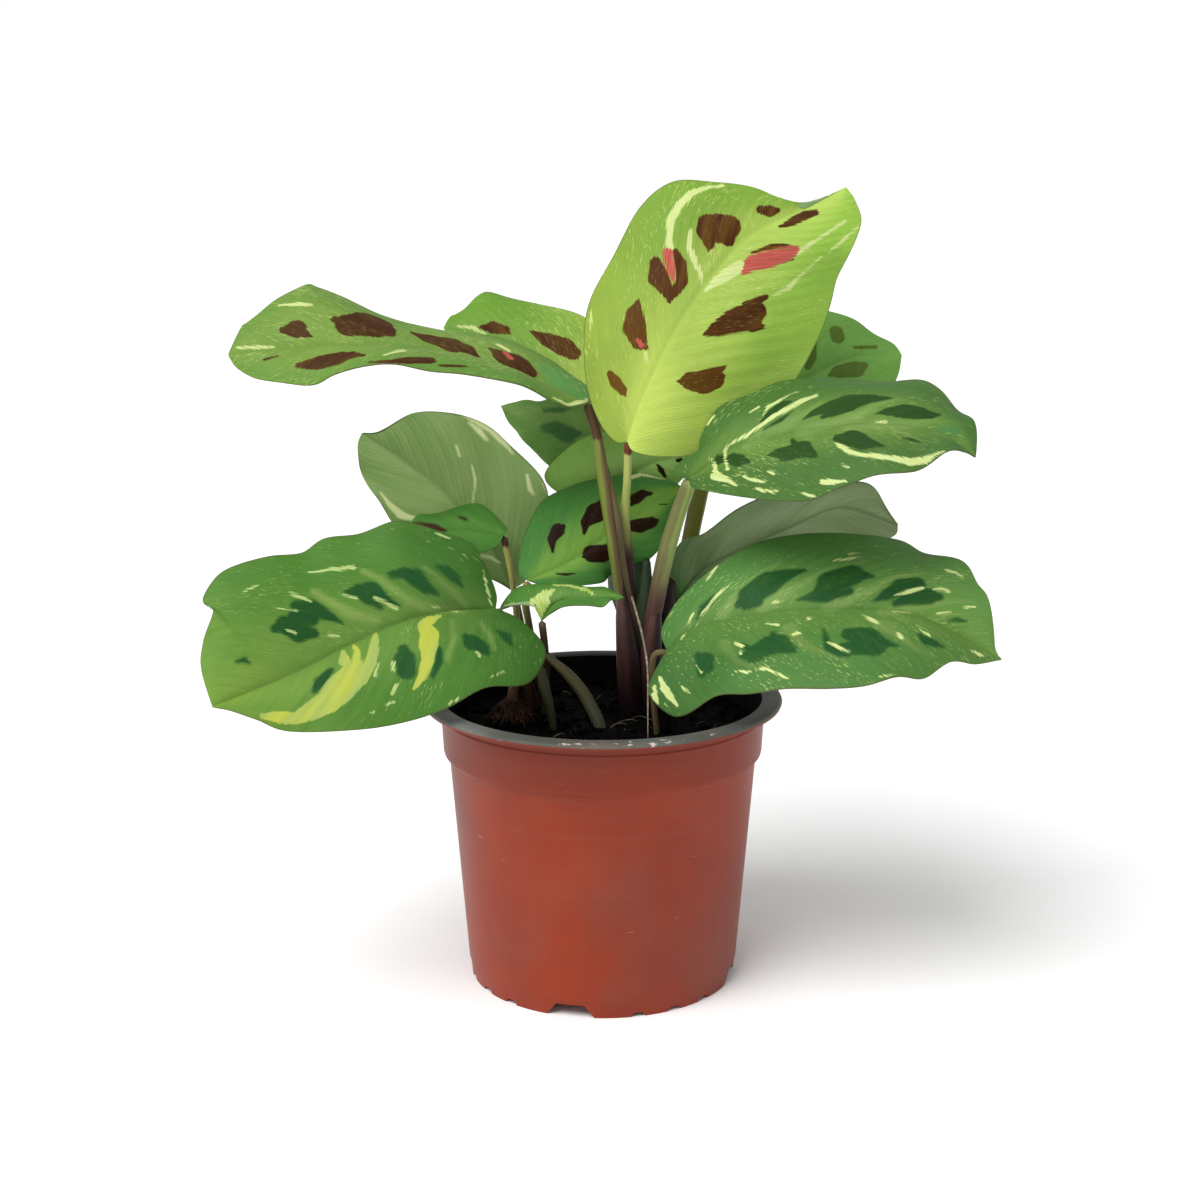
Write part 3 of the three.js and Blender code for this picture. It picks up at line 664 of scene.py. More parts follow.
# %% The middle leaf on the right
LEAVES["right_mid"] = dict(
    look="deep",
    rib=[(28, -8, 171), (35, -12, 177), (45, -16, 184), (62, -22, 189), (83, -28, 192), (103, -30, 190),
        (116, -32, 182)],
    left=[(23, -4, 172), (26, -4, 177), (31, -4, 180), (32, -3, 184), (38, -1, 193), (49, 2, 197),
        (59, 4, 201), (74, 4, 202), (90, 0, 202), (103, -6, 203), (112, -14, 195), (117, -22, 192)],
    right=[(29, -12, 169), (34, -20, 169), (48, -33, 169), (62, -42, 170), (70, -46, 174),
        (82, -49, 179), (95, -48, 180), (105, -42, 185), (112, -36, 184)],
    stalk=[(17.5, 9, 88), (16, 7, 113.5), (18, 4.5, 128), (21, 2, 144), (24.5, -2, 158)],
    radii=[2.4, 2.5, 2.8, 2.9, 2.6, 1.8],
    spot=[
        [(-12, 42, 0.2), (-20, 45, 1.5), (-27, 50, 3.5), (-31, 53, 4.5), (-36, 57, 3), (-39, 64, 0.3)],
        [(-12, 48, 0.7), (-17, 51, 2), (-22, 55, 1.8)],
        [(-12, 64, 0.2), (-16, 67, 1.8), (-20, 71, 3), (-23, 74, 3), (-28, 78, 1.9), (-39, 80, 0.3)],
        [(-25, 29, 0.5), (-34, 31, 1.4), (-44, 34, 1.5), (-45, 36, 0.4)],
        [(-11, 30, 0.2), (-19, 35, 0.9), (-27, 38, 0.3)],
        [(38, 29, 0.5), (36, 32, 2), (39, 34, 3), (36, 39, 3.5), (47, 41, 1.5), (53, 42, 0.3)],
        [(17, 38, 0.6), (28, 38, 1.3)],
        [(30, 51, 2), (34, 54, 4), (48, 56, 3), (55, 59, 1.2), (58, 61, 0.2)],
        [(42, 69, 0.5), (47, 71, 0.9), (55, 73, 0.3)], [(14, 13, 2.5), (25, 16, 1)],
        [(27, 18, 2), (39, 20, 2.5), (45, 23, 0.5)],
    ],
    shade=[
        [(-5, 86, 0.7), (-19, 88, 1.5), (-34, 88, 0.7)],
    ],
    pale=[
        [(8, 25, 2.5), (-5, 32, 1.8), (-11, 38, 1.8), (-20, 42, 1), (-33, 45, 0.5)],
        [(5, 43, 3), (-2, 53, 2), (-9, 59, 1.8), (-27, 62, 0.9), (-38, 66, 0.5)],
        [(11, 57, 2.5), (9, 66, 3), (5, 75, 2.5), (-22, 81, 0.6)],
    ],
    cream=[
        [(-11, 18, 0.3), (-12, 25, 0.5), (-20, 29, 0.5), (-27, 32, 0.8), (-33, 36, 1), (-42, 39, 1),
         (-48, 42, 0.6)], [(-34, 29, 0.2), (-47, 30, 0.4), (-55, 33, 0.4), (-62, 36, 0.3)],
        [(-11, 18, 0.3), (-5, 16, 0.5), (52, 16, 0.5)], [(-11, 11, 0.3), (30, 12, 0.8), (55, 12, 1.2)],
        [(58, 11, 1.1), (70, 14, 1.1), (83, 17, 0.4)],
        [(39, 49, 0.3), (53, 50, 0.7), (67, 52, 0.8), (77, 58, 0.9), (86, 64, 1.4), (89, 69, 1.2),
         (89, 74, 0.5), (95, 78, 0.2)], [(67, 20, 0.3), (73, 21, 0.4), (77, 25, 0.2)],
        [(86, 22, 0.2), (88, 24, 0.4), (89, 27, 0.3)], [(91, 33, 0.2), (95, 34, 0.4), (98, 36, 0.2)],
        [(86, 39, 0.7), (91, 41, 0.7), (95, 44, 0.4)], [(62, 27, 0.2), (67, 28, 0.4)],
        [(73, 46, 0.2), (80, 47, 0.3)], [(-97, 14, 0.4), (-94, 16, 0.4)],
        [(-52, 25, 0.3), (-55, 27, 0.6)], [(-2, 66, 0.3), (-2, 69, 0.4)],
    ],
)

# %% [markdown]
# ## The low leaf on the right
# The broadest leaf, which hangs over the rim of the pot. Small cream dashes follow its veins.

# %% The low leaf on the right
LEAVES["right_low"] = dict(
    look="deep",
    rib=[(21, -22, 117), (28, -22, 124), (46, -24, 130), (70, -28, 133), (94, -32, 133), (110, -34, 127),
        (126, -36, 118)],
    left=[(19, -17, 122), (22, -13, 128), (28, -9, 134), (39, -4, 142), (53, 0, 149), (73, 0, 152),
        (96, -4, 151), (105, -10, 147), (116, -16, 145), (120, -23, 140), (123, -28, 135),
        (124, -34, 120)],
    right=[(17, -26, 111), (15, -30, 105), (21, -36, 100), (26, -40, 101), (35, -46, 109),
        (45, -51, 111), (56, -56, 114), (69, -60, 115), (80, -61, 116), (90, -58, 118), (99, -55, 117),
        (108, -47, 120), (117, -42, 118)],
    stalk=[(17.8, -18.5, 88), (16.5, -19, 100), (16, -20.5, 110), (17, -21.5, 116)],
    radii=[1, 0.9, 0.9, 0.9, 0.9],
    spot=[
        [(-20, 12, 0.5), (-34, 14, 1.6), (-44, 17, 0.9)],
        [(-14, 23, 1.1), (-23, 26, 4), (-33, 30, 4.5), (-38, 34, 2.5), (-41, 38, 0.6)],
        [(-11, 25, 1.6), (-14, 28, 2.5)],
        [(-8, 39, 0.2), (-12, 44, 2), (-25, 46, 4.5), (-34, 50, 4), (-34, 55, 0.6)],
        [(-6, 43, 0.4), (-9, 47, 1.6), (-16, 52, 1.5)],
        [(-6, 60, 0.3), (-14, 62, 1.9), (-27, 64, 3.5), (-38, 66, 2.5)],
        [(-6, 66, 1), (-16, 68, 2.5), (-27, 71, 3), (-33, 73, 1.5)],
        [(-12, 81, 0.5), (-20, 82, 0.9), (-28, 84, 0.4)],
        [(62, 27, 0.9), (61, 30, 3.5), (53, 33, 4), (53, 35, 4), (62, 38, 1.6), (64, 39, 0.4)],
        [(39, 34, 1), (47, 34, 2)], [(47, 27, 0.6), (56, 29, 1.5)],
        [(39, 46, 0.5), (50, 46, 1.1), (61, 46, 1.5), (69, 48, 1.1), (70, 50, 0.6)],
        [(45, 52, 3), (50, 55, 5), (58, 56, 5), (58, 59, 2), (62, 62, 0.4)],
        [(59, 49, 1.1), (62, 52, 3), (66, 55, 1.8)],
        [(41, 70, 0.8), (48, 71, 2), (52, 74, 1.6), (59, 77, 0.3)],
        [(45, 16, 1.6), (53, 18, 3.5), (64, 18, 2), (62, 20, 1.8)],
    ],
    pale=[
        [(-6, 19, 2), (-27, 22, 1.1), (-41, 25, 1.1), (-48, 29, 0.6), (-56, 31, 0.3)],
        [(-3, 30, 2), (-16, 35, 1.8), (-27, 40, 1.1), (-39, 43, 0.7), (-53, 50, 0.3)],
        [(3, 49, 3), (-11, 54, 1.6), (-22, 58, 1.1), (-38, 60, 0.8), (-56, 64, 0.3)],
        [(8, 64, 3), (-8, 71, 1.3), (-28, 75, 0.6), (-67, 79, 0.3)],
        [(38, 22, 2), (58, 25, 1.3), (70, 27, 0.5), (78, 31, 0.3)],
        [(34, 38, 2.5), (53, 40, 1.5), (64, 43, 1), (77, 49, 0.3)],
        [(33, 61, 3), (47, 64, 1.9), (62, 66, 1), (72, 72, 0.4)],
    ],
    cream=[
        [(-6, 11, 0.2), (-28, 14, 0.3), (-42, 17, 0.4), (-50, 20, 0.2)], [(17, 8, 0.3), (-38, 11, 0.2)],
        [(-84, 15, 0.3), (-91, 16, 0.5), (-97, 17, 0.3)],
        [(-52, 43, 0.3), (-53, 45, 0.5), (-59, 48, 0.2)], [(-61, 45, 0.4), (-64, 47, 0.2)],
        [(-17, 64, 0.3), (-23, 66, 0.7), (-34, 68, 0.4)],
        [(-39, 70, 0.3), (-45, 71, 0.5), (-48, 73, 0.3)],
        [(-75, 66, 0.3), (-78, 68, 0.6), (-80, 70, 0.3)], [(-44, 80, 0.2), (-61, 81, 0.2)],
        [(-12, 77, 0.2), (-25, 79, 0.2)], [(6, 66, 0.3), (2, 71, 0.4)], [(19, 43, 0.4), (22, 43, 0.7)],
        [(16, 57, 0.3), (25, 59, 0.7), (31, 60, 0.4)], [(42, 39, 0.7), (42, 40, 0.6)],
        [(41, 25, 0.2), (50, 27, 0.6), (59, 27, 0.3)], [(55, 46, 0.3), (61, 48, 0.5), (67, 50, 0.3)],
        [(44, 64, 0.4), (50, 64, 0.7)], [(33, 71, 0.4), (38, 73, 0.5)],
        [(52, 88, 0.3), (58, 90, 0.6), (61, 92, 0.3)], [(78, 31, 0.3), (81, 33, 0.4), (91, 36, 0.2)],
        [(78, 26, 0.3), (80, 29, 0.3)], [(95, 54, 0.2), (97, 57, 0.2)], [(55, 16, 0.2), (64, 18, 0.3)],
        [(75, 14, 0.2), (81, 16, 0.3)], [(77, 8, 0.6), (83, 10, 1.3), (86, 12, 1.1), (91, 14, 0.4)],
        [(91, 8, 0.8), (95, 9, 1), (98, 10, 0.4)], [(-8, 33, 0.2), (-9, 34, 0.4)],
        [(23, 32, 0.2), (27, 35, 0.5)],
    ],
)

# %% [markdown]
# ## A leaf seen from below, right
# It turns its grey-green under face to the viewer.

# %% A leaf seen from below, right
LEAVES["right_under"] = dict(
    look="grey",
    rib=[(24, 15, 124), (33, 14, 136), (46, 12, 144), (61, 11, 151), (80, 14, 158), (100, 19, 151)],
    left=[(30, 19, 121), (47, 21, 127), (68, 24, 134), (85, 25, 139), (99, 23, 146)],
    right=[(21, 14, 129), (22, 12, 137), (26, 9, 147), (34, 5, 151), (46, 2, 160), (65, -1, 168),
        (80, 3, 169), (89, 8, 166)],
    stalk=[(23, 9.5, 88), (20, 11.5, 105.5), (22, 13.5, 117.5)],
    radii=[1.7, 1.6, 1.5, 1.2],
)

# %% [markdown]
# ## The low leaf on the left
# It droops over the rim and carries the two boldest splashes of yellow.

# %% The low leaf on the left
LEAVES["left_low"] = dict(
    look="deep",
    rib=[(-35, -12, 129), (-50, -16, 129), (-64, -22, 127), (-81, -30, 121), (-98, -40, 114),
        (-121, -52, 107)],
    left=[(-27, -13, 125), (-19, -16, 117), (-20, -20, 111), (-25, -26, 107), (-37, -33, 108),
        (-49, -39, 103), (-61, -44, 100), (-76, -50, 99), (-97, -55, 100), (-107, -56, 104),
        (-115, -55, 107)],
    right=[(-35, -10, 134), (-39, -8, 144), (-43, -7, 150), (-51, -7, 153), (-61, -7, 156),
        (-68, -8, 157), (-79, -10, 153), (-90, -13, 152), (-97, -17, 148), (-107, -22, 148),
        (-118, -27, 146), (-123, -31, 143), (-126, -35, 137), (-122, -38, 134), (-125, -42, 125),
        (-125, -47, 118)],
    stalk=[(-25, 5, 88), (-25.5, 0, 100), (-28, -6, 113.5), (-31, -10, 122.5)],
    radii=[1.5, 1.5, 1.5, 1.5, 1.3],
    spot=[
        [(50, 54, 1.5), (44, 51, 2.5), (34, 50, 2), (20, 48, 0.3)],
        [(39, 64, 1.4), (38, 61, 3), (28, 60, 3.5), (22, 57, 1.7)], [(39, 57, 3), (34, 54, 2.5)],
        [(45, 41, 0.8), (42, 38, 2.5), (36, 36, 4), (27, 34, 2), (16, 31, 0.4)],
        [(27, 37, 1.3), (20, 36, 0.8)],
        [(48, 29, 1.3), (47, 26, 2), (41, 24, 3), (30, 22, 2), (23, 19, 0.5)],
        [(56, 18, 0.7), (53, 16, 1.7), (47, 14, 1.7), (38, 12, 0.4)],
        [(44, 81, 0.5), (38, 79, 1), (31, 79, 0.4)], [(-39, 66, 1), (-28, 64, 2), (-19, 60, 1)],
        [(-31, 38, 1.9), (-41, 39, 3.5), (-53, 40, 3)], [(-45, 30, 0.9), (-58, 32, 1.4), (-69, 35, 0.5)],
        [(-41, 22, 1.4), (-48, 22, 3), (-56, 21, 2.5), (-64, 21, 0.7)],
        [(-53, 14, 0.6), (-62, 14, 1.7), (-70, 15, 0.6)],
    ],
    yellow=[
        [(-83, 81, 1), (-77, 76, 2), (-78, 71, 1.9), (-69, 67, 3), (-58, 62, 4), (-45, 58, 5),
         (-36, 54, 4.5)], [(-44, 52, 2), (-30, 48, 1.9), (-16, 45, 1.7), (-2, 42, 0.9)],
        [(-3, 54, 0.6), (-16, 55, 2)], [(-2, 50, 0.4), (-11, 50, 1), (-25, 52, 1.7)],
        [(-6, 20, 0.4), (-9, 25, 2), (-12, 28, 1.9), (-25, 29, 3), (-39, 32, 3), (-52, 34, 2),
         (-64, 37, 1.5), (-72, 40, 0.6)],
    ],
    pale=[
        [(56, 47, 1), (42, 46, 1.4), (23, 44, 1.6), (11, 39, 1.2)],
        [(59, 34, 0.7), (47, 32, 0.9), (30, 30, 1.1), (17, 27, 1.1)],
        [(52, 21, 0.5), (41, 18, 1), (25, 14, 1.1), (9, 10, 0.6)],
        [(19, 28, 1.6), (3, 19, 1.5), (-9, 13, 1)], [(-17, 20, 0.5), (-38, 25, 0.9), (-59, 30, 0.6)],
        [(-36, 15, 0.6), (-52, 17, 1), (-62, 19, 0.6)],
    ],
    cream=[
        [(77, 43, 0.2), (72, 40, 0.4), (67, 37, 0.7), (66, 35, 0.8)],
        [(77, 59, 0.2), (77, 57, 0.3), (77, 55, 0.4)], [(61, 52, 0.4), (56, 51, 0.5), (48, 50, 0.3)],
        [(52, 58, 0.2), (45, 55, 0.3)], [(33, 62, 0.2), (28, 61, 0.3)], [(44, 42, 0.3), (36, 40, 0.5)],
        [(31, 36, 0.4), (23, 34, 0.5), (14, 32, 0.4)], [(16, 54, 0.2), (11, 52, 0.3)],
        [(9, 21, 0.2), (-5, 14, 0.3)], [(95, 17, 0.2), (95, 14, 0.3)],
        [(88, 7, 0.2), (72, 5, 0.3), (38, 2, 0.2)], [(-34, 46, 0.3), (-45, 48, 0.4)],
        [(-39, 42, 0.3), (-47, 43, 0.4)], [(-69, 45, 0.5), (-64, 44, 0.7), (-62, 43, 0.3)],
        [(-78, 47, 0.2), (-78, 45, 0.4)], [(-83, 51, 0.4), (-83, 50, 0.3)],
        [(-59, 23, 0.5), (-64, 23, 0.3)], [(-89, 24, 0.3), (-84, 21, 0.3)],
        [(-97, 34, 0.2), (-97, 32, 0.4)],
    ],
)

# %% [markdown]
# ## A young leaf on the left
# Small and folded, with one reddish spot and one of dark green.

# %% A young leaf on the left
LEAVES["left_mid_small"] = dict(
    look="deep",
    rib=[(-33, 6, 150), (-42, 5, 152), (-54, 3, 152), (-68, 2, 150)],
    left=[(-35, 3, 147), (-41, 0, 145), (-51, -2, 144), (-62, -2, 146)],
    right=[(-32, 8, 152), (-38, 11, 157), (-43, 12, 159), (-53, 11, 157), (-61, 8, 156)],
    stalk=[(-25, 10.5, 88), (-26.5, 9, 99), (-28.5, 8, 117), (-30.5, 7, 136)],
    radii=[1, 1, 1, 1, 1],
    spot=[
        [(73, 76, 0.4), (31, 71, 1.2), (11, 63, 1.6), (-2, 55, 0.7)], [(42, 39, 0.5), (34, 35, 0.6)],
    ],
)

# %% [markdown]
# ## A leaf seen from below, left
# Cream streaks shine through its pale under face.

# %% A leaf seen from below, left
LEAVES["left_under"] = dict(
    look="grey",
    rib=[(-31, 20, 128), (-38, 20, 143), (-51, 20, 159), (-65, 20, 171), (-81, 20, 182)],
    left=[(-25, 22, 133), (-19, 26, 150), (-20, 28, 164), (-32, 29, 177), (-40, 28, 184), (-51, 27, 188),
        (-64, 25, 188), (-74, 22, 183), (-77, 20, 182)],
    right=[(-37, 18, 132), (-52, 15, 140), (-65, 13, 148), (-71, 13, 153), (-76, 14, 162),
        (-81, 16, 169), (-82, 18, 175), (-82, 19, 179)],
    stalk=[(-23, 15, 88), (-26, 15, 101), (-27.5, 14, 115.5)],
    radii=[1.4, 1.3, 1.3, 1.2],
    cream=[
        [(88, 61, 0.3), (86, 54, 1.1), (80, 49, 1.5), (70, 46, 0.8), (58, 45, 0.3)],
        [(-100, 55, 0.4), (-100, 52, 0.9), (-98, 46, 1), (-97, 41, 1), (-95, 37, 0.3)],
        [(-94, 53, 0.5), (-89, 49, 0.9), (-86, 46, 0.5)], [(-59, 56, 0.5), (-50, 54, 0.5)],
        [(-50, 48, 0.4), (-41, 45, 0.5), (-30, 43, 0.4), (-17, 41, 0.2)],
        [(-89, 31, 0.6), (-83, 28, 0.8), (-84, 26, 0.4)], [(-98, 27, 0.3), (-100, 23, 0.2)],
        [(44, 20, 0.4), (20, 17, 0.7), (0, 14, 0.3)],
    ],
)

# %% [markdown]
# ## The leaf in the middle
# It grows among the stalks, bright green with nearly black spots.

# %% The leaf in the middle
LEAVES["centre"] = dict(
    look="mid",
    rib=[(-25, 3, 135), (-10, 8, 141), (4, 14, 150), (16, 19, 157), (27, 23, 163)],
    left=[(-28, 5, 138), (-27, 11, 146), (-21, 18, 158), (-12, 22, 163), (-1, 26, 166), (13, 28, 167),
        (22, 28, 165)],
    right=[(-17, 3, 133), (-1, 8, 133), (3, 12, 135), (10, 14, 138), (17, 15, 141), (23, 19, 151)],
    stalk=[(-19.5, 12.5, 88), (-22.5, 11, 102), (-24.5, 8, 117), (-26, 5, 128)],
    radii=[1.2, 1.2, 1.2, 1.2, 1.1],
    spot=[
        [(-33, 20, 0.5), (-50, 23, 1.6), (-52, 27, 2.5), (-50, 30, 1)],
        [(-22, 38, 0.5), (-34, 41, 1.9), (-38, 47, 3.5), (-45, 51, 2)],
        [(9, 32, 0.6), (14, 36, 3), (30, 39, 3), (36, 43, 2.5)],
        [(11, 62, 1.9), (25, 65, 2.5), (39, 70, 2), (47, 72, 0.8)],
        [(-22, 67, 0.4), (-31, 70, 2), (-36, 74, 1.7), (-30, 80, 0.4)],
        [(30, 14, 0.3), (45, 17, 0.5), (50, 21, 0.2)], [(12, 83, 0.3), (36, 85, 0.3)],
    ],
    cream=[
        [(-83, 65, 0.6), (-92, 70, 0.7), (-95, 78, 0.7), (-95, 84, 0.5)],
    ],
)

# %% [markdown]
# ## The leaf at the back
# A dark leaf that closes the gap behind the stalks.

# %% The leaf at the back
LEAVES["back_centre"] = dict(
    look="deep",
    rib=[(13, 50, 168), (-1, 52, 175), (-17, 56, 182), (-36, 60, 186)],
    left=[(8, 48, 162), (-6, 47, 162), (-18, 48, 166), (-26, 53, 173), (-32, 58, 179)],
    right=[(13, 56, 174), (3, 60, 186), (-10, 62, 189), (-21, 62, 188), (-32, 61, 187)],
    stalk=[(16.5, 24, 88), (14.5, 31, 108), (14.5, 40, 127.5), (15.5, 50, 147)],
    radii=[1.3, 1.3, 1.3, 1.3, 1.2],
    spot=[
        [(-31, 62, 1.8), (-22, 57, 3), (-23, 48, 3.5), (-8, 43, 1)],
        [(22, 69, 0.8), (33, 59, 1.1), (44, 52, 0.6)],
    ],
)

# %% [markdown]
# ## The low leaf at the back
# Mostly hidden, with one black spot.

# %% The low leaf at the back
LEAVES["back_low"] = dict(
    look="mid",
    rib=[(-1, 29, 156), (3, 31, 161), (10, 34, 166), (20, 37, 170), (32, 41, 171)],
    left=[(-4, 30, 158), (-15, 31, 160), (-20, 33, 166), (-12, 36, 175), (-1, 38, 180), (15, 40, 180),
        (27, 42, 176)],
    right=[(8, 29, 156), (18, 32, 159), (27, 36, 163)],
    stalk=[(9.5, 20, 88), (9, 23, 110), (6.5, 27, 130), (2, 29, 145.5)],
    radii=[1.3, 1.3, 1.3, 1.3, 1.2],
    spot=[
        [(11, 62, 0.4), (34, 59, 1.1), (58, 56, 0.5)], [(17, 81, 0.8), (14, 86, 0.5)],
    ],
)

# %% [markdown]
# ## The smallest leaf
# A young blade with a cream triangle near its base.

# %% The smallest leaf
LEAVES["low_small"] = dict(
    look="deep",
    rib=[(-20, -12, 125), (-15, -12, 131), (-6, -13, 133), (7, -14, 133)],
    left=[(-23, -12, 131), (-29, -9, 130), (-34, -6, 128), (-28, -2, 134), (-16, -4, 135), (-4, -6, 135),
        (4, -10, 134)],
    right=[(-17, -15, 128), (-12, -19, 131), (-1, -21, 132), (3, -18, 133)],
    stalk=[(-19.6, 6.5, 88), (-19, 4, 97), (-19, -4, 111.5)],
    radii=[1.2, 1.2, 1.2, 1],
    cream=[
        [(-42, 24, 1.1), (-31, 32, 1.9), (-34, 40, 0.5)], [(-27, 25, 2.5), (-44, 7, 1.2), (-100, 1, 0.4)],
        [(-61, 46, 0.6), (-55, 55, 0.8), (-36, 64, 0.8), (-12, 68, 0.4)],
    ],
)
# %% [markdown]
# ## The skin of the upper face
# One node group paints every leaf. It starts from what the mesh has stored. Because `leaf_flow`
# holds the distance across the leaf and the place of the side vein, noise that is stretched along
# the first gives streaks that lie along the veins.

# %% Node group for the upper face
LEAF_INPUTS = {
    "Margin": (70, 130, 60), "Middle": (125, 160, 95), "Pale": (150, 185, 115),
    "Base": (190, 215, 92), "Shade": (62, 118, 66), "Cream": (204, 216, 138),
    "Spot": (45, 95, 55), "Spot Tint": (60, 105, 60), "Spot Edge": 0.3, "Spot Ragged": 0.6,
    "Pale Width": 0.45, "Painted Base Glow": 0.0, "Painted Tip Glow": 0.0, "Painted Base Shade": 0.0, "Painted Half Shade": 0.0,
    "Flecks": 0.5, "Fleck Gain": 0.02, "Cream Amount": 0.9,
}


def ragged_mask(tree, depth, ragged, soft):
    return soft_step(tree, calc(tree, "ADD", depth, ragged), soft)


tree, given, put = new_group("leaf skin", LEAF_INPUTS)
flow, (across, phase, _) = stored(tree, "leaf_flow")
_, (side, along, _) = stored(tree, "leaf_where")
_, (spot, cream, pink) = stored(tree, "leaf_marks")
_, (yellow, shade, pale) = stored(tree, "leaf_tones")
out = calc(tree, "ABSOLUTE", side)
fine = grain(tree, flow, (0.16, 1.5, 1), detail=3)
broad = grain(tree, flow, (0.06, 0.12, 1))
torn = scaled(tree, grain(tree, flow, (0.2, 1.1, 1), detail=3), 4.4, -2.2)
print("the leaf skin reads", len(LEAF_INPUTS), "inputs")

# %% [markdown]
# ## Ground colours
# A blade is darker at the margin and paler in the middle, where pale feathers run out along the
# veins. Near the base or the tip some leaves take a painted glow of yellow-green light, which
# stands for light shining through the thin blade. Fine streaks and slow clouds keep any patch
# from being one flat green.

# %% Ground colours
STREAK_LIGHT = (1, 1, 0.85, 1)

middle_mask = ramp(tree, calc(tree, "SUBTRACT", given["Pale Width"], out), -0.22, 0.3)
middle_mask = times(tree, middle_mask, scaled(tree, broad, 0.9, 0.45))
colour = blend(tree, middle_mask, given["Margin"], given["Middle"])
pale_mask = ragged_mask(tree, pale, times(tree, torn, 0.5), 1.2)
colour = cover(tree, colour, pale_mask, 0.95, given["Pale"])
# Painted light: a yellow-green glow near the base, and near the tip, stands for light shining through the
# blade.
near_base = ramp(tree, calc(tree, "SUBTRACT", 0.55, along), 0.0, 0.5)
glow = times(tree, near_base, given["Painted Base Glow"])
colour = blend(tree, glow, colour, given["Base"])
near_tip = ramp(tree, scaled(tree, broad, 0.4, along), 0.65, 1.25)
colour = cover(tree, colour, near_tip, given["Painted Tip Glow"], given["Base"])

streaks = ramp(tree, fine, 0.25, 0.75)
colour = cover(tree, colour, streaks, 0.22, STREAK_LIGHT, "SOFT_LIGHT")
hue = cloud(tree, object_place(tree), scale=28)
colour = cover(tree, colour, ramp(tree, hue, 0.35, 0.7), 0.22, srgb(60, 110, 50))

# %% [markdown]
# ## Dark patches and painted shade
# Some leaves have one dark green patch. Others take painted shade: a darker base where other
# leaves overhang it, and one half painted darker than the other, the half that the lamp lights
# more. A negative amount darkens the left half, a positive one the right half.

# %% Dark patches and painted shade
PAINTED_BASE_SHADE_TONE = (0.3, 0.42, 0.4, 1)
PAINTED_HALF_SHADE_TONE = (0.33, 0.38, 0.24, 1)

colour = cover(tree, colour, ragged_mask(tree, shade, torn, 2.0), 0.8, given["Shade"])
# Painted shade: the base darkened where other leaves overhang it.
painted_base_shade_mask = ramp(tree, scaled(tree, broad, 0.3, calc(tree, "SUBTRACT", 0.27, along)), 0.05, 0.4)
colour = cover(tree, colour, painted_base_shade_mask, given["Painted Base Shade"], PAINTED_BASE_SHADE_TONE, "MULTIPLY")
# Painted shade on one half of the blade, the half that the lamp lights more.
half_shade_side = times(tree, side, given["Painted Half Shade"])
half_shade_amount = calc(tree, "ABSOLUTE", given["Painted Half Shade"])
colour = cover(tree, colour, ramp(tree, half_shade_side, -0.12, 0.26), half_shade_amount, PAINTED_HALF_SHADE_TONE, "MULTIPLY")

# %% [markdown]
# ## Dark spots
# The stored depth inside a stroke, shaken by noise along the veins, gives a spot its torn edge.
# Its colour shifts in clouds and threads towards a second one, because a spot is never even.

# %% Dark spots
spot_clouds = times(tree, ramp(tree, broad, 0.45, 0.7), 0.5)
# Near the base the spots take on the same painted glow.
spot_tint = calc(tree, "MAXIMUM", spot_clouds, glow)
spot_colour = blend(tree, spot_tint, given["Spot"], given["Spot Tint"])
spot_colour = cover(tree, spot_colour, ramp(tree, fine, 0.5, 0.72), 0.32, given["Spot Tint"])
spot_mask = ragged_mask(tree, spot, times(tree, torn, given["Spot Ragged"]), given["Spot Edge"])
colour = blend(tree, spot_mask, colour, spot_colour)

# %% [markdown]
# ## Flecks
# Small pale dashes lie along the veins, thick in some patches, thin in others and nearly absent
# on the spots. They are the peaks of one noise, raised or lowered by a slower one.

# %% Flecks
dash = grain(tree, flow, (0.55, 1.9, 1), (3, 8, 1), detail=1.5)
patchy = grain(tree, flow, (0.05, 0.06, 1), (9, 2, 4))
fleck_level = scaled(tree, patchy, 0.5, given["Fleck Gain"])
fleck_mask = ramp(tree, calc(tree, "ADD", dash, fleck_level), 0.91, 0.97)
fleck_mask = times(tree, fleck_mask, scaled(tree, spot_mask, -0.85, 1))
fleck_colour = blend(tree, 0.5, given["Pale"], given["Cream"])
colour = cover(tree, colour, fleck_mask, given["Flecks"], fleck_colour)

# %% [markdown]
# ## Splashes of cream, yellow and pink
# These lie over all else. Cream breaks up into threads along the veins, yellow is denser, and
# pink is a wash of two tones.

# %% Splashes
threads = scaled(tree, grain(tree, flow, (0.25, 1.3, 1), (5, 1, 3), detail=3), 2.8, -1.35)
paler_cream = blend(tree, 0.45, given["Cream"], srgb(214, 226, 178))
cream_tone = blend(tree, ramp(tree, fine, 0.3, 0.7), given["Cream"], paler_cream)
cream_mask = ragged_mask(tree, cream, threads, 0.3)
colour = cover(tree, colour, cream_mask, given["Cream Amount"], cream_tone)
gold = blend(tree, ramp(tree, broad, 0.35, 0.65), srgb(146, 166, 88), srgb(170, 178, 68))
colour = blend(tree, ragged_mask(tree, yellow, times(tree, torn, 0.35), 0.3), colour, gold)
rose = blend(tree, streaks, srgb(165, 64, 58), srgb(180, 97, 83))
colour = blend(tree, ragged_mask(tree, pink, times(tree, torn, 0.7), 0.25), colour, rose)

# %% [markdown]
# ## Rim, sheen and fine relief
# A thin dry line edges the blade. The sheen follows the streaks, and the finest veins, under a
# millimetre apart, are too small for the mesh, so they are left to the bump.

# %% Rim, sheen and fine relief
FINE_VEIN_PITCH = 0.9

rim_mask = ramp(tree, out, 0.984, 0.997)
colour = cover(tree, colour, rim_mask, 0.6, srgb(96, 98, 62))
roughness = scaled(tree, hue, 0.08, scaled(tree, fine, 0.16, 0.4))
lines = calc(tree, "SINE", times(tree, phase, math.tau / FINE_VEIN_PITCH))
height = scaled(tree, lines, 0.012, times(tree, fine, 0.09))
deliver(tree, put, colour, roughness, height)
leaf_skin = tree
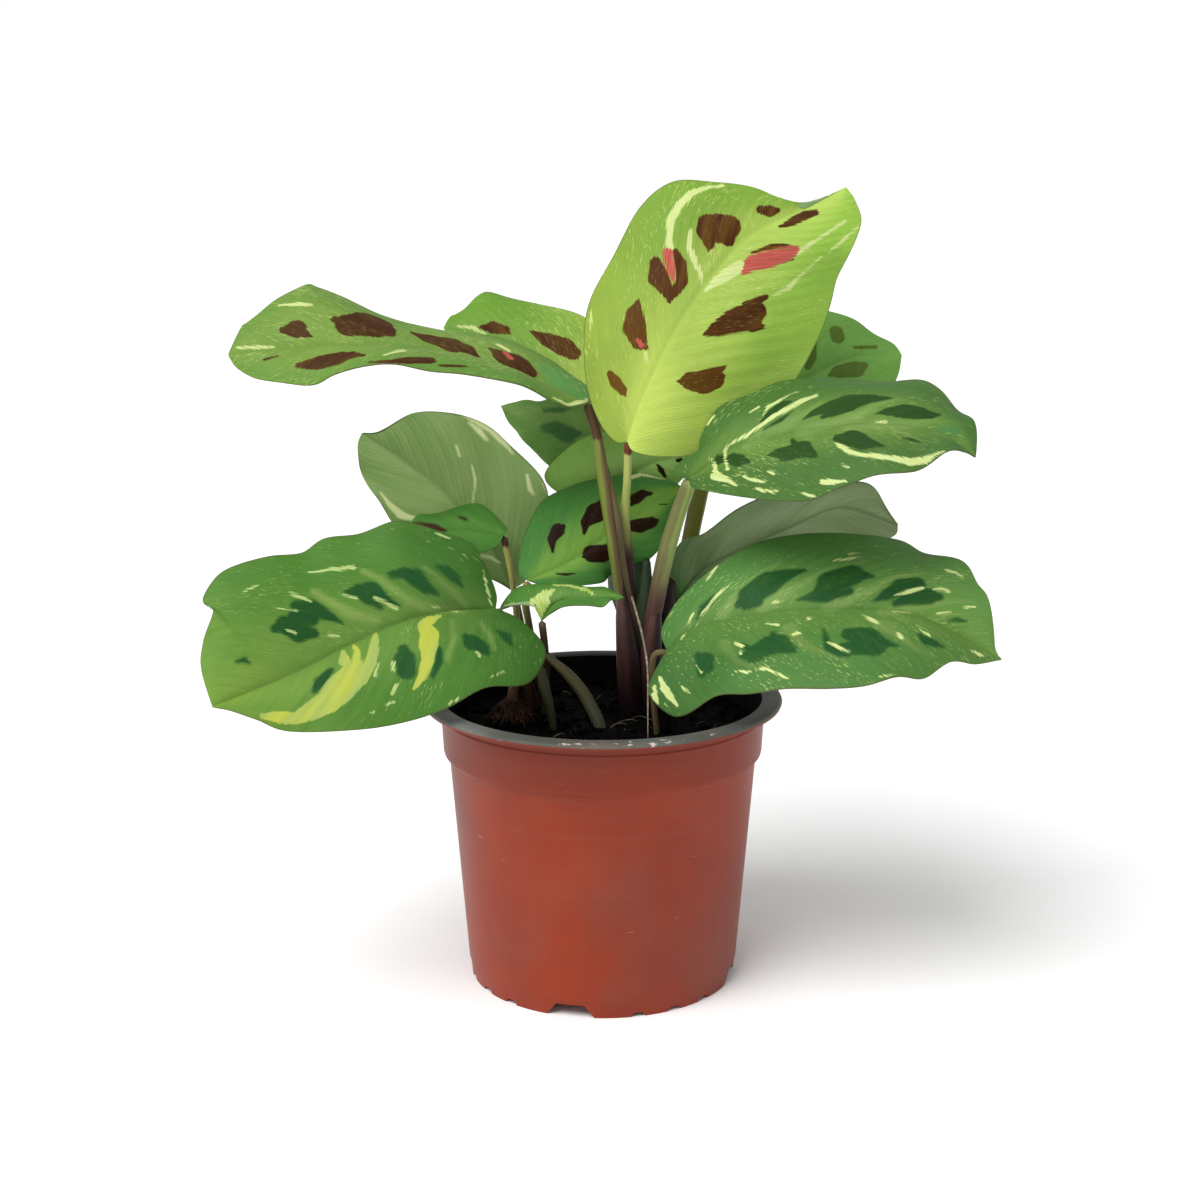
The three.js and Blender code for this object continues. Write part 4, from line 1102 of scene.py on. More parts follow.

# %% [markdown]
# ## The under face
# The under face is grey-green and matt. Its midrib and side veins stand out as thin darker lines,
# and the cream and spots of the upper face shine through it. Near the base some leaves take
# painted shade, where the leaves above overhang them.

# %% Node group for the under face
UNDER_INPUTS = {
    "Skin": (138, 160, 118), "Skin Tint": (112, 142, 84), "Vein": (104, 122, 78),
    "Cream": (212, 222, 140), "Painted Base Shade": 0.0, "Vein Lines": 0.24,
}
SIDE_VEIN_PITCH = 2.7
PAINTED_UNDER_SHADE_TONE = (0.3, 0.5, 0.3, 1)

tree, given, put = new_group("leaf under face", UNDER_INPUTS)
flow, (across, phase, _) = stored(tree, "leaf_flow")
_, (_, along, _) = stored(tree, "leaf_where")
_, (spot, cream, _) = stored(tree, "leaf_marks")
fine = grain(tree, flow, (0.12, 1.3, 1), detail=3)
broad = grain(tree, flow, (0.05, 0.08, 1))
torn = scaled(tree, grain(tree, flow, (0.2, 1.0, 1), detail=3), 2.0, -1.0)
colour = blend(tree, ramp(tree, broad, 0.28, 0.72), given["Skin"], given["Skin Tint"])
colour = cover(tree, colour, ramp(tree, fine, 0.3, 0.75), 0.12, given["Vein"])
ridge = calc(tree, "SINE", times(tree, phase, math.tau / SIDE_VEIN_PITCH))
colour = cover(tree, colour, ramp(tree, ridge, 0.75, 1.0), given["Vein Lines"], given["Vein"])
rib_mask = ramp(tree, times(tree, across, -1), -0.9, -0.3)
colour = cover(tree, colour, rib_mask, 0.7, given["Vein"])
# Painted shade at the base of the under face.
painted_base_shade_mask = ramp(tree, scaled(tree, broad, 0.3, calc(tree, "SUBTRACT", 0.22, along)), 0.05, 0.3)
colour = cover(tree, colour, painted_base_shade_mask, given["Painted Base Shade"], PAINTED_UNDER_SHADE_TONE, "MULTIPLY")
colour = cover(tree, colour, ramp(tree, spot, -0.6, 0.6), 0.3, srgb(86, 112, 70))
colour = blend(tree, ragged_mask(tree, cream, times(tree, torn, 0.4), 0.5), colour, given["Cream"])
height = scaled(tree, ridge, 0.03, times(tree, fine, 0.05))
deliver(tree, put, colour, scaled(tree, fine, 0.12, 0.48), height)
leaf_under = tree

# %% [markdown]
# ## Leaf palettes
# A young leaf is lime green and an old one deep green. Each palette fills in the colours of the
# upper face. Every leaf has a material of its own, because the amounts differ from leaf to leaf.

# %% Palettes
LEAF_SPECULAR = 0.1
UPPER_LOOKS = {
    "lime": {
        "Margin": (136, 176, 66), "Middle": (158, 184, 83), "Pale": (173, 194, 103),
        "Base": (188, 206, 94), "Spot": (64, 29, 7), "Spot Tint": (102, 74, 14),
        # A painted glow of light near the base.
        "Cream": (187, 200, 120), "Flecks": 0.8, "Fleck Gain": 0.03, "Painted Base Glow": 0.7,
        # Painted shade on the left half.
        "Painted Half Shade": -0.58, "Spot Ragged": 0.4,
    },
    "mid": {
        "Margin": (66, 119, 52), "Middle": (112, 152, 63), "Pale": (130, 164, 80),
        "Spot": (32, 13, 4), "Spot Tint": (46, 23, 9), "Flecks": 0.15, "Spot Ragged": 0.18,
    },
    "deep": {
        "Margin": (67, 111, 45), "Middle": (88, 125, 57), "Pale": (110, 140, 74),
        "Spot": (28, 73, 32), "Spot Tint": (40, 82, 29), "Cream": (180, 197, 118),
        "Flecks": 0.6, "Fleck Gain": 0.0, "Spot Edge": 0.75, "Spot Ragged": 0.36,
    },
    "grey": {
        "Margin": (74, 130, 62), "Middle": (112, 156, 84), "Pale": (136, 172, 104),
        "Spot": (48, 98, 56), "Spot Tint": (54, 102, 56), "Flecks": 0.6, "Spot Edge": 0.9,
    },
}


def leaf_materials(name, look, own):
    values = {**UPPER_LOOKS[look], **own.get("upper", {})}
    upper = dress(f"{name}_upper", leaf_skin, values, specular=LEAF_SPECULAR)
    under = dress(f"{name}_under", leaf_under, own.get("under", {}), specular=LEAF_SPECULAR)
    return upper, under


# %% [markdown]
# ## Leaves that differ from their palette
# Most leaves follow the palette of their age. These few stand apart, and only the differences are
# written down. Some differences are painted light: the amounts of painted shade and painted glow,
# and the lighter greens of the low leaf at the back, which lift the shade that the leaves above
# cast on it.

# %% Own colours
OWN_LOOKS = {
    "left_high": {"upper": {
        "Margin": (91, 127, 51), "Middle": (104, 134, 57), "Pale": (120, 148, 74),
        "Spot": (62, 33, 9), "Spot Tint": (84, 59, 14), "Shade": (84, 138, 72),
        "Pale Width": 0.7, "Painted Base Glow": 0.0, "Painted Tip Glow": 0.05, "Painted Half Shade": 0.0, "Flecks": 0.9,
        "Fleck Gain": 0.04,
    }},
    "left_back_high": {"upper": {
        "Margin": (97, 139, 45), "Middle": (107, 142, 60), "Painted Half Shade": 0.0,
    }},
    "right_back_high": {"upper": {
        "Margin": (92, 134, 58), "Middle": (100, 142, 66), "Spot": (68, 91, 30),
        "Spot Tint": (79, 94, 31),
    }},
    "right_mid": {"upper": {
        "Margin": (65, 98, 44), "Middle": (92, 122, 55), "Pale": (102, 131, 67),
        "Spot": (36, 66, 24), "Spot Tint": (47, 74, 29), "Fleck Gain": 0.01, "Flecks": 0.7,
        "Spot Edge": 0.4, "Cream": (190, 204, 124),
    }},
    "left_low": {"upper": {
        "Margin": (70, 112, 43), "Middle": (94, 127, 55), "Pale": (116, 141, 71),
        "Cream": (166, 190, 106), "Cream Amount": 0.8, "Flecks": 0.5, "Fleck Gain": -0.02,
        "Painted Tip Glow": 0.48, "Base": (126, 156, 62), "Painted Base Shade": 0.6,
    }},
    "right_low": {"upper": {
        "Margin": (81, 125, 62), "Painted Tip Glow": 0.34, "Base": (120, 144, 66), "Painted Base Shade": 0.35,
        "Painted Half Shade": 0.4, "Fleck Gain": 0.0, "Flecks": 0.7, "Cream": (196, 208, 124),
    }},
    # Painted light: lighter greens that lift the shade the leaves above cast on this leaf.
    "back_low": {"upper": {"Margin": (140, 183, 90), "Middle": (158, 195, 109)}},
    "low_small": {"upper": {"Cream": (146, 170, 62), "Cream Amount": 1.0}},
    "left_mid_small": {"upper": {
        "Margin": (72, 122, 50), "Middle": (84, 132, 56), "Spot": (66, 38, 22),
        "Spot Tint": (34, 52, 24), "Flecks": 0.1,
    }},
    "back_centre": {"upper": {
        "Margin": (114, 153, 77), "Middle": (138, 168, 96), "Spot": (72, 112, 68),
        "Spot Tint": (78, 118, 68), "Spot Edge": 0.9, "Flecks": 0.0,
    }},
    "left_under": {"under": {
        "Skin": (156, 184, 116), "Skin Tint": (138, 170, 98), "Vein": (138, 166, 104),
        "Cream": (232, 240, 176), "Vein Lines": 0.04,
    }},
    "right_under": {"under": {
        "Skin": (130, 147, 107), "Skin Tint": (116, 136, 92), "Vein": (92, 112, 70),
        "Painted Base Shade": 0.95,
    }},
}
print(len(LEAVES), "leaves,", len(OWN_LOOKS), "with colours of their own")

# %% [markdown]
# ## Grow the blades
# Every leaf is now modelled, given its thickness and painted. Solidify works from the middle
# surface, half to each side. Its material offset gives the under face the second material.

# %% Blades
blades = {}
for number, (name, leaf) in enumerate(LEAVES.items()):
    piece, blade = model_blade(name, leaf, number)
    for material in leaf_materials(f"leaf_{name}", leaf["look"], OWN_LOOKS.get(name, {})):
        piece.data.materials.append(material)
    wall = piece.modifiers.new("thickness", "SOLIDIFY")
    wall.thickness = BLADE_THICKNESS * MM
    wall.offset = 0
    wall.material_offset = 1
    apply_all(piece)
    shade_smooth(piece)
    finish_piece(piece, f"leaf_{name}", [f"blade_{name}"])
    blades[name] = blade

# %% [markdown]
# ## Stalks
# A stalk is a grid wrapped round its route: one direction of the grid goes round, the other goes
# along. Its radius changes from point to point. Where it meets the blade it swells into the small
# red-brown joint that turns the leaf by day and by night. The first point stands in the soil.

# %% Wrap a grid round a route
STALK_SIDES = 24
STALK_STEP = 1.3
STALK_ROOT = 4
END_ROUNDING = 0.02
SWELLING = 0.22
SWELLING_LENGTH = 9
STALK_RIBS = 5
RIB_HEIGHT = 0.035
RIB_TWIST = 6
AHEAD = 0.004


def model_stalk(route, radii, swell=0.0, flat=0.0):
    root = (route[0][0], route[0][1], route[0][2] - STALK_ROOT)
    line = Route([root, *route])
    rings = max(int(line.length / STALK_STEP), 16)
    piece = start_piece(
        bpy.ops.mesh.primitive_grid_add, x_subdivisions=STALK_SIDES, y_subdivisions=rings, size=2
    )
    grid = read_points(piece)
    angle, share = np.pi * (grid[:, 0] + 1), (grid[:, 1] + 1) / 2
    centre = line.look_up(share, line.by_knot)
    ahead = line.look_up(np.minimum(share + AHEAD, 1), line.by_knot)
    direction = unit(ahead - line.look_up(np.maximum(share - AHEAD, 0), line.by_knot))
    sideways = unit(np.cross([0.0, 1.0, 0.0], direction))
    forwards = np.cross(direction, sideways)
    radius = np.interp(share, np.linspace(0, 1, len(radii) + 1), [radii[0], *radii])
    left = (1 - np.interp(share, line.by_knot, line.by_length)) * line.length
    radius = radius * (1 + swell * np.exp(-((left / SWELLING_LENGTH) ** 2)))
    end = np.clip(np.minimum(share, 1 - share) / END_ROUNDING, 0, 1)
    radius = radius * np.sqrt(1 - (1 - end) ** 2)
    ribbed = 1 + RIB_HEIGHT * np.cos(STALK_RIBS * angle + RIB_TWIST * share)
    round_x = (radius * ribbed * np.cos(angle))[:, None]
    round_y = (radius * ribbed * (1 - flat) * np.sin(angle))[:, None]
    write_points(piece, (centre + sideways * round_x + forwards * round_y) * MM)
    store(piece, "stalk_place", np.stack([np.cos(angle), centre[:, 2], left], axis=1))
    store(piece, "stalk_flow", np.stack([radius * np.cos(angle), radius * np.sin(angle), left], axis=1))
    weld(piece, turn_outward=True)
    shade_smooth(piece)
    return piece


# %% [markdown]
# ## The skin of a stalk
# Stalks are yellow-green near the leaf and wine purple at the foot, in long fibres. The side that
# faces away from the light is often purple all the way up.

# %% Node group for stalks
STALK_INPUTS = {
    "Upper": (150, 150, 72),
    "Side": (104, 80, 64),
    "Foot": (58, 34, 34),
    "Joint": (84, 44, 24),
    "Foot Height": 105.0,
    "Fade": 40.0,
    "Side Amount": 0.5,
    "Joint Length": 6.0,
}
FIBRE_DARK = (0.45, 0.45, 0.45, 1)
FIBRE_LIGHT = (0.62, 0.62, 0.6, 1)

tree, given, put = new_group("stalk skin", STALK_INPUTS)
_, (turn, level, left) = stored(tree, "stalk_place")
flow, _ = stored(tree, "stalk_flow")
fibre = grain(tree, flow, (2.2, 2.2, 0.07), detail=3)
blotch = grain(tree, flow, (0.3, 0.3, 0.09))
side_mask = ramp(tree, scaled(tree, blotch, 0.8, turn), 0.1, 0.8)
colour = cover(tree, given["Upper"], side_mask, given["Side Amount"], given["Side"])
rise = calc(tree, "DIVIDE", calc(tree, "SUBTRACT", level, given["Foot Height"]), given["Fade"])
rise = scaled(tree, blotch, 0.6, rise)
colour = blend(tree, ramp(tree, rise, 0.0, 1.3), given["Foot"], colour)
tone = blend(tree, ramp(tree, fibre, 0.3, 0.7), FIBRE_DARK, FIBRE_LIGHT)
colour = blend(tree, 0.8, colour, tone, "SOFT_LIGHT")
joint = calc(tree, "SUBTRACT", given["Joint Length"], left)
joint_mask = ramp(tree, scaled(tree, fibre, 2.0, joint), 0.6, 1.8)
colour = blend(tree, joint_mask, colour, given["Joint"])
deliver(tree, put, colour, scaled(tree, fibre, 0.25, 0.32), times(tree, fibre, 0.18))
stalk_skin = tree

# %% [markdown]
# ## Grow the stalks
# Each stalk runs from the soil to just under the base of its blade. A few have colours of their
# own: the tallest leaf's is straw yellow, the two thick ones on the right are half purple.

# %% Stalks
STALK_LOOKS = {
    "top": {"Upper": (175, 182, 100), "Side Amount": 0.1, "Joint": (104, 48, 28),
            "Joint Length": 4.5, "Foot Height": 146.0, "Fade": 16.0},
    "left_high": {"Upper": (106, 118, 48), "Side": (92, 62, 50), "Side Amount": 0.8,
                  "Joint": (72, 52, 26), "Joint Length": 13.0, "Foot Height": 112.0},
    "right_mid": {"Upper": (114, 114, 70), "Side": (138, 156, 84), "Side Amount": 1.0,
                  "Foot": (84, 61, 52), "Foot Height": 131.0, "Fade": 20.0, "Joint Length": 0.0},
    "right_back_high": {"Upper": (104, 104, 38), "Side": (126, 124, 52), "Joint Length": 3.0,
                        "Foot Height": 118.0},
    "right_low": {"Upper": (88, 80, 50), "Foot": (50, 42, 28), "Joint Length": 0.0,
                  "Foot Height": 80.0},
    "centre": {"Joint Length": 0.0},
    "left_low": {"Upper": (96, 84, 52), "Foot": (70, 48, 38), "Joint Length": 0.0},
    "left_mid_small": {"Joint Length": 4.0, "Joint": (62, 36, 20)},
    "low_small": {"Upper": (84, 70, 50), "Foot": (66, 52, 40), "Joint Length": 0.0},
}
SEAT = 0.2

for name, leaf in LEAVES.items():
    base = np.array(leaf["rib"][0], float)
    under = blades[name].normal(np.array([0.0]), np.array([0.0]))[0]
    end = base - under * (BLADE_THICKNESS / 2 + SEAT)
    piece = model_stalk([*leaf["stalk"], tuple(end)], leaf["radii"], swell=SWELLING)
    piece.data.materials.append(dress(f"stalk_{name}_skin", stalk_skin, STALK_LOOKS.get(name, {})))
    finish_piece(piece, f"stalk_{name}", [f"petiole_{name}"])

# %% [markdown]
# ## Stems without a blade
# A flat purple sheath clasps the tall stalks, a short runner dips back into the soil, and beside
# the stalks on the left is the stub of an old root. Thin scales wrap the foot of the clump, a
# young shoot comes up beside the runner and a new leaf, still rolled up, stands behind. The scales
# and the foot of the rolled leaf are nearly black: their own dark colour together with painted
# shade among the crowded stalks.

# %% Bare stems
# Partly painted shade: the scales' near-black side and foot stand for the shade among the stalks.
SCALE_LOOK_WITH_PAINTED_SHADE = {"Upper": (86, 58, 52), "Side": (34, 16, 18), "Foot": (22, 9, 12),
              "Side Amount": 0.9, "Foot Height": 98.0, "Fade": 24.0}
NO_JOINT = {"Joint Length": 0.0}
MEASURED_STEMS = ("stem_sheath", "runner", "root_stub")

BARE_STEMS = {
    "stem_sheath": dict(
        slot="sheath", flat=0.2,
        route=[(13.5, 12.5, 88), (11.5, 8.5, 113.5), (8.4, 6, 128), (6, 4, 142), (4.6, 1.5, 156),
               (2, 2.5, 169), (1, 4.5, 174.5)],
        radii=[2.1, 2, 1.9, 1.8, 1.7, 1.1, 0.4],
        look={"Upper": (100, 92, 60), "Side": (78, 62, 44), "Foot": (38, 20, 22),
              "Foot Height": 112.0, "Fade": 30.0},
    ),
    "runner": dict(
        slot="stalk", flat=0.0,
        route=[(-1, -7.5, 88), (-5.5, -5, 97), (-11.2, -5, 104.5), (-16.5, -5.6, 109.6),
               (-18.8, -4.6, 112)],
        radii=[2.1, 2.2, 1.9, 1.3, 1.1],
        look={"Upper": (82, 78, 50), "Side": (68, 64, 42), "Foot": (56, 56, 42),
              "Foot Height": 92.0, "Fade": 16.0},
    ),
    "root_stub": dict(
        slot="root", flat=0.0,
        route=[(-31, 0, 88), (-30.6, -1, 93), (-29.6, -1.5, 100.5)],
        radii=[3.2, 2.3, 1.5],
        look={"Upper": (104, 74, 58), "Side": (74, 46, 36), "Foot": (48, 28, 22),
              "Foot Height": 90.0, "Fade": 10.0},
    ),
    "young_shoot": dict(
        slot="stalk", flat=0.1,
        route=[(-16.4, -9.4, 88), (-17.6, -8.4, 95), (-19.4, -7.2, 101.5), (-20.8, -5.6, 108)],
        radii=[1.2, 1.5, 1.8, 1.4],
        look={"Upper": (70, 72, 44), "Side": (54, 54, 34), "Foot": (36, 36, 24),
              "Foot Height": 90.0, "Fade": 14.0},
    ),
    "left_scale": dict(
        slot="sheath", flat=0.25, route=[(10, 8, 88), (8.8, 4.4, 106), (7.2, 2.4, 122), (5.4, 2, 139)],
        radii=[4.2, 4.1, 2.9, 0.5], look=SCALE_LOOK_WITH_PAINTED_SHADE,
    ),
    "middle_scale": dict(
        slot="sheath", flat=0.3, route=[(14, 10, 88), (13.6, 9, 106), (14.2, 10, 124), (14.8, 13, 141)],
        radii=[4.4, 4.3, 3.4, 1.2],
        look={**SCALE_LOOK_WITH_PAINTED_SHADE, "Upper": (44, 62, 36), "Side": (32, 44, 28), "Foot Height": 106.0},
    ),
    "rolled_leaf": dict(
        slot="stalk", flat=0.2,
        route=[(11.5, 20, 88), (11, 20.5, 106), (10, 21, 119), (9, 21.5, 129), (8.8, 22, 139),
               (9, 22.5, 148)],
        radii=[3.4, 3.8, 4.6, 7, 7.4, 3.4],
        look={"Upper": (56, 88, 52), "Side": (42, 64, 40), "Foot": (18, 14, 12),
              "Foot Height": 104.0, "Fade": 26.0},
    ),
    "back_scale": dict(
        slot="sheath", flat=0.2, route=[(22, 14, 88), (21, 13, 106), (21.6, 13, 122), (22.6, 13, 134)],
        radii=[4.0, 4.0, 3.4, 1.8], look={**SCALE_LOOK_WITH_PAINTED_SHADE, "Upper": (30, 20, 18)},
    ),
    "right_scale": dict(
        slot="sheath", flat=0.25, route=[(17, 8.4, 88), (16.2, 5.6, 104), (17, 4.4, 118), (18.8, 4, 132)],
        radii=[4.0, 4.0, 3.0, 0.5], look=SCALE_LOOK_WITH_PAINTED_SHADE,
    ),
}

for name, stem in BARE_STEMS.items():
    piece = model_stalk(stem["route"], stem["radii"], flat=stem["flat"])
    piece.data.materials.append(dress(f"{name}_skin", stalk_skin, {**NO_JOINT, **stem["look"]}))
    stands_for = [name] if name in MEASURED_STEMS else []
    finish_piece(piece, f"{name}_skin", stands_for)

# %% [markdown]
# ## The nursery pot
# A thin-walled plastic pot is formed in a mould, so all its rings share one axis. Its profile is
# a line of (radius, height): down the foot, up the wall, round the collar with its small bead,
# over the rolled lip, and down the inside to the floor again.

# %% Pot profile
POT_SIDES = 144
POT_HEIGHT = 97
COLLAR_Z = 78
FOOT_RADIUS = 44.9
WALL = 1.2
FLOOR_Z = 5
BEAD = 0.22

POT_OUTSIDE = [
    (FOOT_RADIUS - WALL, 0.0),
    (FOOT_RADIUS, 0.0),
    (FOOT_RADIUS + 0.5, 5.4),
    (FOOT_RADIUS + 0.9, 5.9),
    (51.5, 76.3),
    (51.9, 77.2),
    (53.3, 78.4),
    (53.5, 79.4),
    (54.1, 90.4),
    (54.1 + BEAD, 90.8),
    (54.2 + BEAD, 91.5),
    (54.2, 91.9),
    (54.4, 92.8),
    (55.4, 93.9),
]
POT_LIP = [
    (58.6, 94.5),
    (59.8, 95.0),
    (60.1, 95.8),
    (59.7, 96.6),
    (58.7, POT_HEIGHT),
    (54.4, POT_HEIGHT),
    (53.4, 96.5),
]
POT_INSIDE = [
    (53.1, 95.6),
    (52.2, 78.5),
    (50.4, 76.0),
    (44.3, FLOOR_Z + WALL),
]
print("pot profile:", len(POT_OUTSIDE) + len(POT_LIP) + len(POT_INSIDE), "points")

# %% [markdown]
# ## Turn the pot
# We start from the disc under the floor and extrude its rim ring by ring along the profile. Each
# new ring is picked out by its place, then scaled and lifted to the next point.

# %% Turn the pot
def select_loop(piece, radius, level, tolerance=1e-5):
    """Select the edges of one ring and nothing else."""
    bpy.ops.object.mode_set(mode="OBJECT")
    points = read_points(piece)
    far = np.abs(np.hypot(points[:, 0], points[:, 1]) - radius) < tolerance
    high = np.abs(points[:, 2] - level) < tolerance
    on_ring = far & high
    piece.data.vertices.foreach_set("select", on_ring)
    ends = np.empty(len(piece.data.edges) * 2, int)
    piece.data.edges.foreach_get("vertices", ends)
    piece.data.edges.foreach_set("select", on_ring[ends.reshape(-1, 2)].all(axis=1))
    piece.data.polygons.foreach_set("select", [False] * len(piece.data.polygons))
    bpy.ops.object.mode_set(mode="EDIT")


def turn_profile(profile, sides):
    radius, level = (value * MM for value in profile[0])
    piece = start_piece(
        bpy.ops.mesh.primitive_circle_add,
        vertices=sides, radius=radius, fill_type="NGON", location=(0, 0, level),
    )
    bpy.ops.object.transform_apply(location=True, rotation=True, scale=True)
    bpy.ops.object.mode_set(mode="EDIT")
    bpy.ops.mesh.select_mode(type="EDGE")
    for next_radius, next_level in profile[1:]:
        select_loop(piece, radius, level)
        bpy.ops.mesh.extrude_edges_move()
        scale = next_radius * MM / radius
        bpy.ops.transform.resize(value=(scale, scale, 1), center_override=(0, 0, 0))
        bpy.ops.transform.translate(value=(0, 0, next_level * MM - level))
        radius, level = next_radius * MM, next_level * MM
    bpy.ops.mesh.edge_face_add()
    bpy.ops.mesh.select_all(action="SELECT")
    bpy.ops.mesh.normals_make_consistent(inside=False)
    bpy.ops.object.mode_set(mode="OBJECT")
    return piece


pot = turn_profile([(43.3, FLOOR_Z), *POT_OUTSIDE, *POT_LIP, *POT_INSIDE], POT_SIDES)
print("pot", len(pot.data.polygons), "faces")

# %% [markdown]
# ## Drain notches and holes
# Water leaves through notches in the foot ring, one wide and three narrow ones in each quarter,
# and through seven round holes in the floor. First come the shapes that are to be taken away.

# %% Shape the cutters
BIG_NOTCH = (16, 9.6, 4.3)
SMALL_NOTCH = (5, 3, 1.4)
FIRST_NOTCH = 13.6
SMALL_NOTCHES = (28.6, 45, 61.4)
NOTCH_DEPTH = 8
DRAIN_RADIUS = 3.5
DRAIN_CIRCLE = 27
DRAIN_COUNT = 6
DRAIN_SIDES = 32


def notch_cutter(width, top, height, degrees):
    cutter = start_piece(bpy.ops.mesh.primitive_cube_add, size=1)
    points = read_points(cutter)
    upper = points[:, 2] > 0
    half = np.where(upper, top, width + (width - top) / height)
    level = np.where(upper, height, -1.0)
    across, depth = points[:, 0] * half, points[:, 1] * NOTCH_DEPTH - FOOT_RADIUS
    turn = -math.radians(degrees)
    x = across * math.cos(turn) - depth * math.sin(turn)
    y = across * math.sin(turn) + depth * math.cos(turn)
    write_points(cutter, np.stack([x, y, level], axis=1) * MM)
    return cutter


def drain_cutter(x, y):
    return start_piece(
        bpy.ops.mesh.primitive_cylinder_add,
        vertices=DRAIN_SIDES, radius=DRAIN_RADIUS * MM, depth=4 * WALL * MM,
        location=(x * MM, y * MM, FLOOR_Z * MM),
    )


cutters = [drain_cutter(0, 0)]
for quarter in range(4):
    start = FIRST_NOTCH + 90 * quarter
    cutters.append(notch_cutter(*BIG_NOTCH, start))
    cutters += [notch_cutter(*SMALL_NOTCH, start + offset) for offset in SMALL_NOTCHES]
for hole in range(DRAIN_COUNT):
    angle = math.tau * hole / DRAIN_COUNT
    cutters.append(drain_cutter(DRAIN_CIRCLE * math.cos(angle), DRAIN_CIRCLE * math.sin(angle)))


def join_pieces(pieces):
    bpy.ops.object.select_all(action="DESELECT")
    for piece in pieces:
        piece.select_set(True)
    bpy.context.view_layer.objects.active = pieces[0]
    bpy.ops.object.join()
    bpy.ops.object.transform_apply(location=True, rotation=True, scale=True)
    return bpy.context.object


print(len(cutters), "cutters")

# %% [markdown]
# ## Cut the pot
# A Boolean with one joined cutter takes them all out. Moulded edges are never sharp, so a narrow
# bevel softens them.

# %% Cut the notches and holes
EDGE_WIDTH = 0.22
EDGE_SEEN_FROM = 32
SHARP_FROM = 34

cutter = join_pieces(cutters)
cut = pot.modifiers.new("drains", "BOOLEAN")
cut.operation = "DIFFERENCE"
cut.object = cutter
edge = pot.modifiers.new("soft edges", "BEVEL")
edge.width = EDGE_WIDTH * MM
edge.segments = 2
edge.limit_method = "ANGLE"
edge.angle_limit = math.radians(EDGE_SEEN_FROM)
apply_all(pot)
bpy.data.objects.remove(cutter)
bpy.ops.object.select_all(action="DESELECT")
pot.select_set(True)
bpy.ops.object.shade_smooth_by_angle(angle=math.radians(SHARP_FROM))
print("pot with its notches and holes", len(pot.data.polygons), "faces")

# %% [markdown]
# ## Worn plastic
# Moulded plastic is never one flat colour. The group mixes two close tones in slow clouds, adds
# the faint rings of the mould, small pale scuffs, and dust that has settled in patches. It also
# paints shade: a darker collar, partly wear and partly painted shade of the leaves above, and a
# nearly black far side, painted shade of the leaves over it with some soil stain. The same group
# serves the terracotta outside, the black inside and the greyed lip.

# %% Node group for worn plastic
PLASTIC_INPUTS = {
    "Main": (143, 50, 21),
    "Second": (130, 47, 25),
    "Scuff": (214, 160, 140),
    "Dust": (126, 112, 100),
    "Scuffs": 0.5,
    "Dustiness": 0.1,
    "Gloss": 0.42,
    "Painted Collar Shade": 0.0,
    "Scuff Share": 0.0,
    "Front Wear": 0.0,
    "Painted Back Shade": 0.0,
}
PORE_TONE = (0.02, 0.01, 0.01, 1)

tree, given, put = new_group("worn plastic", PLASTIC_INPUTS)
place = object_place(tree)
slow = cloud(tree, place, scale=22)
colour = blend(tree, ramp(tree, slow, 0.35, 0.68), given["Main"], given["Second"])
pores = cloud(tree, place, scale=900)
colour = cover(tree, colour, pores, 0.1, PORE_TONE)
rings = grain(tree, place, (3, 3, 420))
colour = cover(tree, colour, ramp(tree, rings, 0.45, 0.75), 0.035, given["Dust"])
level = tree.nodes.new("ShaderNodeSeparateXYZ")
tree.links.new(place, level.inputs[0])
scratch = grain(tree, place, (60, 60, 380), (4, 1, 2))
scratch = calc(tree, "ADD", scratch, given["Scuff Share"])
scuffs = ramp(tree, scratch, 0.745, 0.775)
in_front = ramp(tree, times(tree, level.outputs["Y"], -1), 0.02, 0.058)
nick = grain(tree, place, (300, 300, 1300), (2, 6, 1), detail=3)
nick = calc(tree, "ADD", nick, times(tree, in_front, given["Front Wear"]))
scuffs = calc(tree, "MAXIMUM", scuffs, ramp(tree, nick, 0.74, 0.79))
scuffs = times(tree, scuffs, given["Scuffs"])
colour = blend(tree, scuffs, colour, given["Scuff"])
dusty = cloud(tree, place, scale=34, detail=4)
dust = times(tree, ramp(tree, dusty, 0.42, 0.72), given["Dustiness"])
colour = blend(tree, dust, colour, given["Dust"])
# The collar darker: painted shade of the overhanging leaves, together with wear.
painted_collar_shade_mask = ramp(tree, level.outputs["Z"], (COLLAR_Z - 2) * MM, (COLLAR_Z + 3) * MM)
colour = cover(tree, colour, painted_collar_shade_mask, given["Painted Collar Shade"], srgb(70, 26, 18))
# The far side darkened nearly to black: painted shade of the leaves over it, with some soil stain.
painted_back_shade_mask = ramp(tree, level.outputs["Y"], -0.01, 0.045)
colour = cover(tree, colour, painted_back_shade_mask, given["Painted Back Shade"], srgb(14, 15, 14))
rough = scaled(tree, dust, 0.5, given["Gloss"])
height = scaled(tree, pores, 0.02, times(tree, rings, 0.03))
height = scaled(tree, slow, 0.25, height)
deliver(tree, put, colour, scaled(tree, scuffs, 0.2, rough), height)
plastic = tree

# %% [markdown]
# ## Paint the pot
# The pot is two-coloured plastic: terracotta outside, black inside, and a lip that handling has
# greyed. The place of a face in the profile decides which of the three finishes it takes.

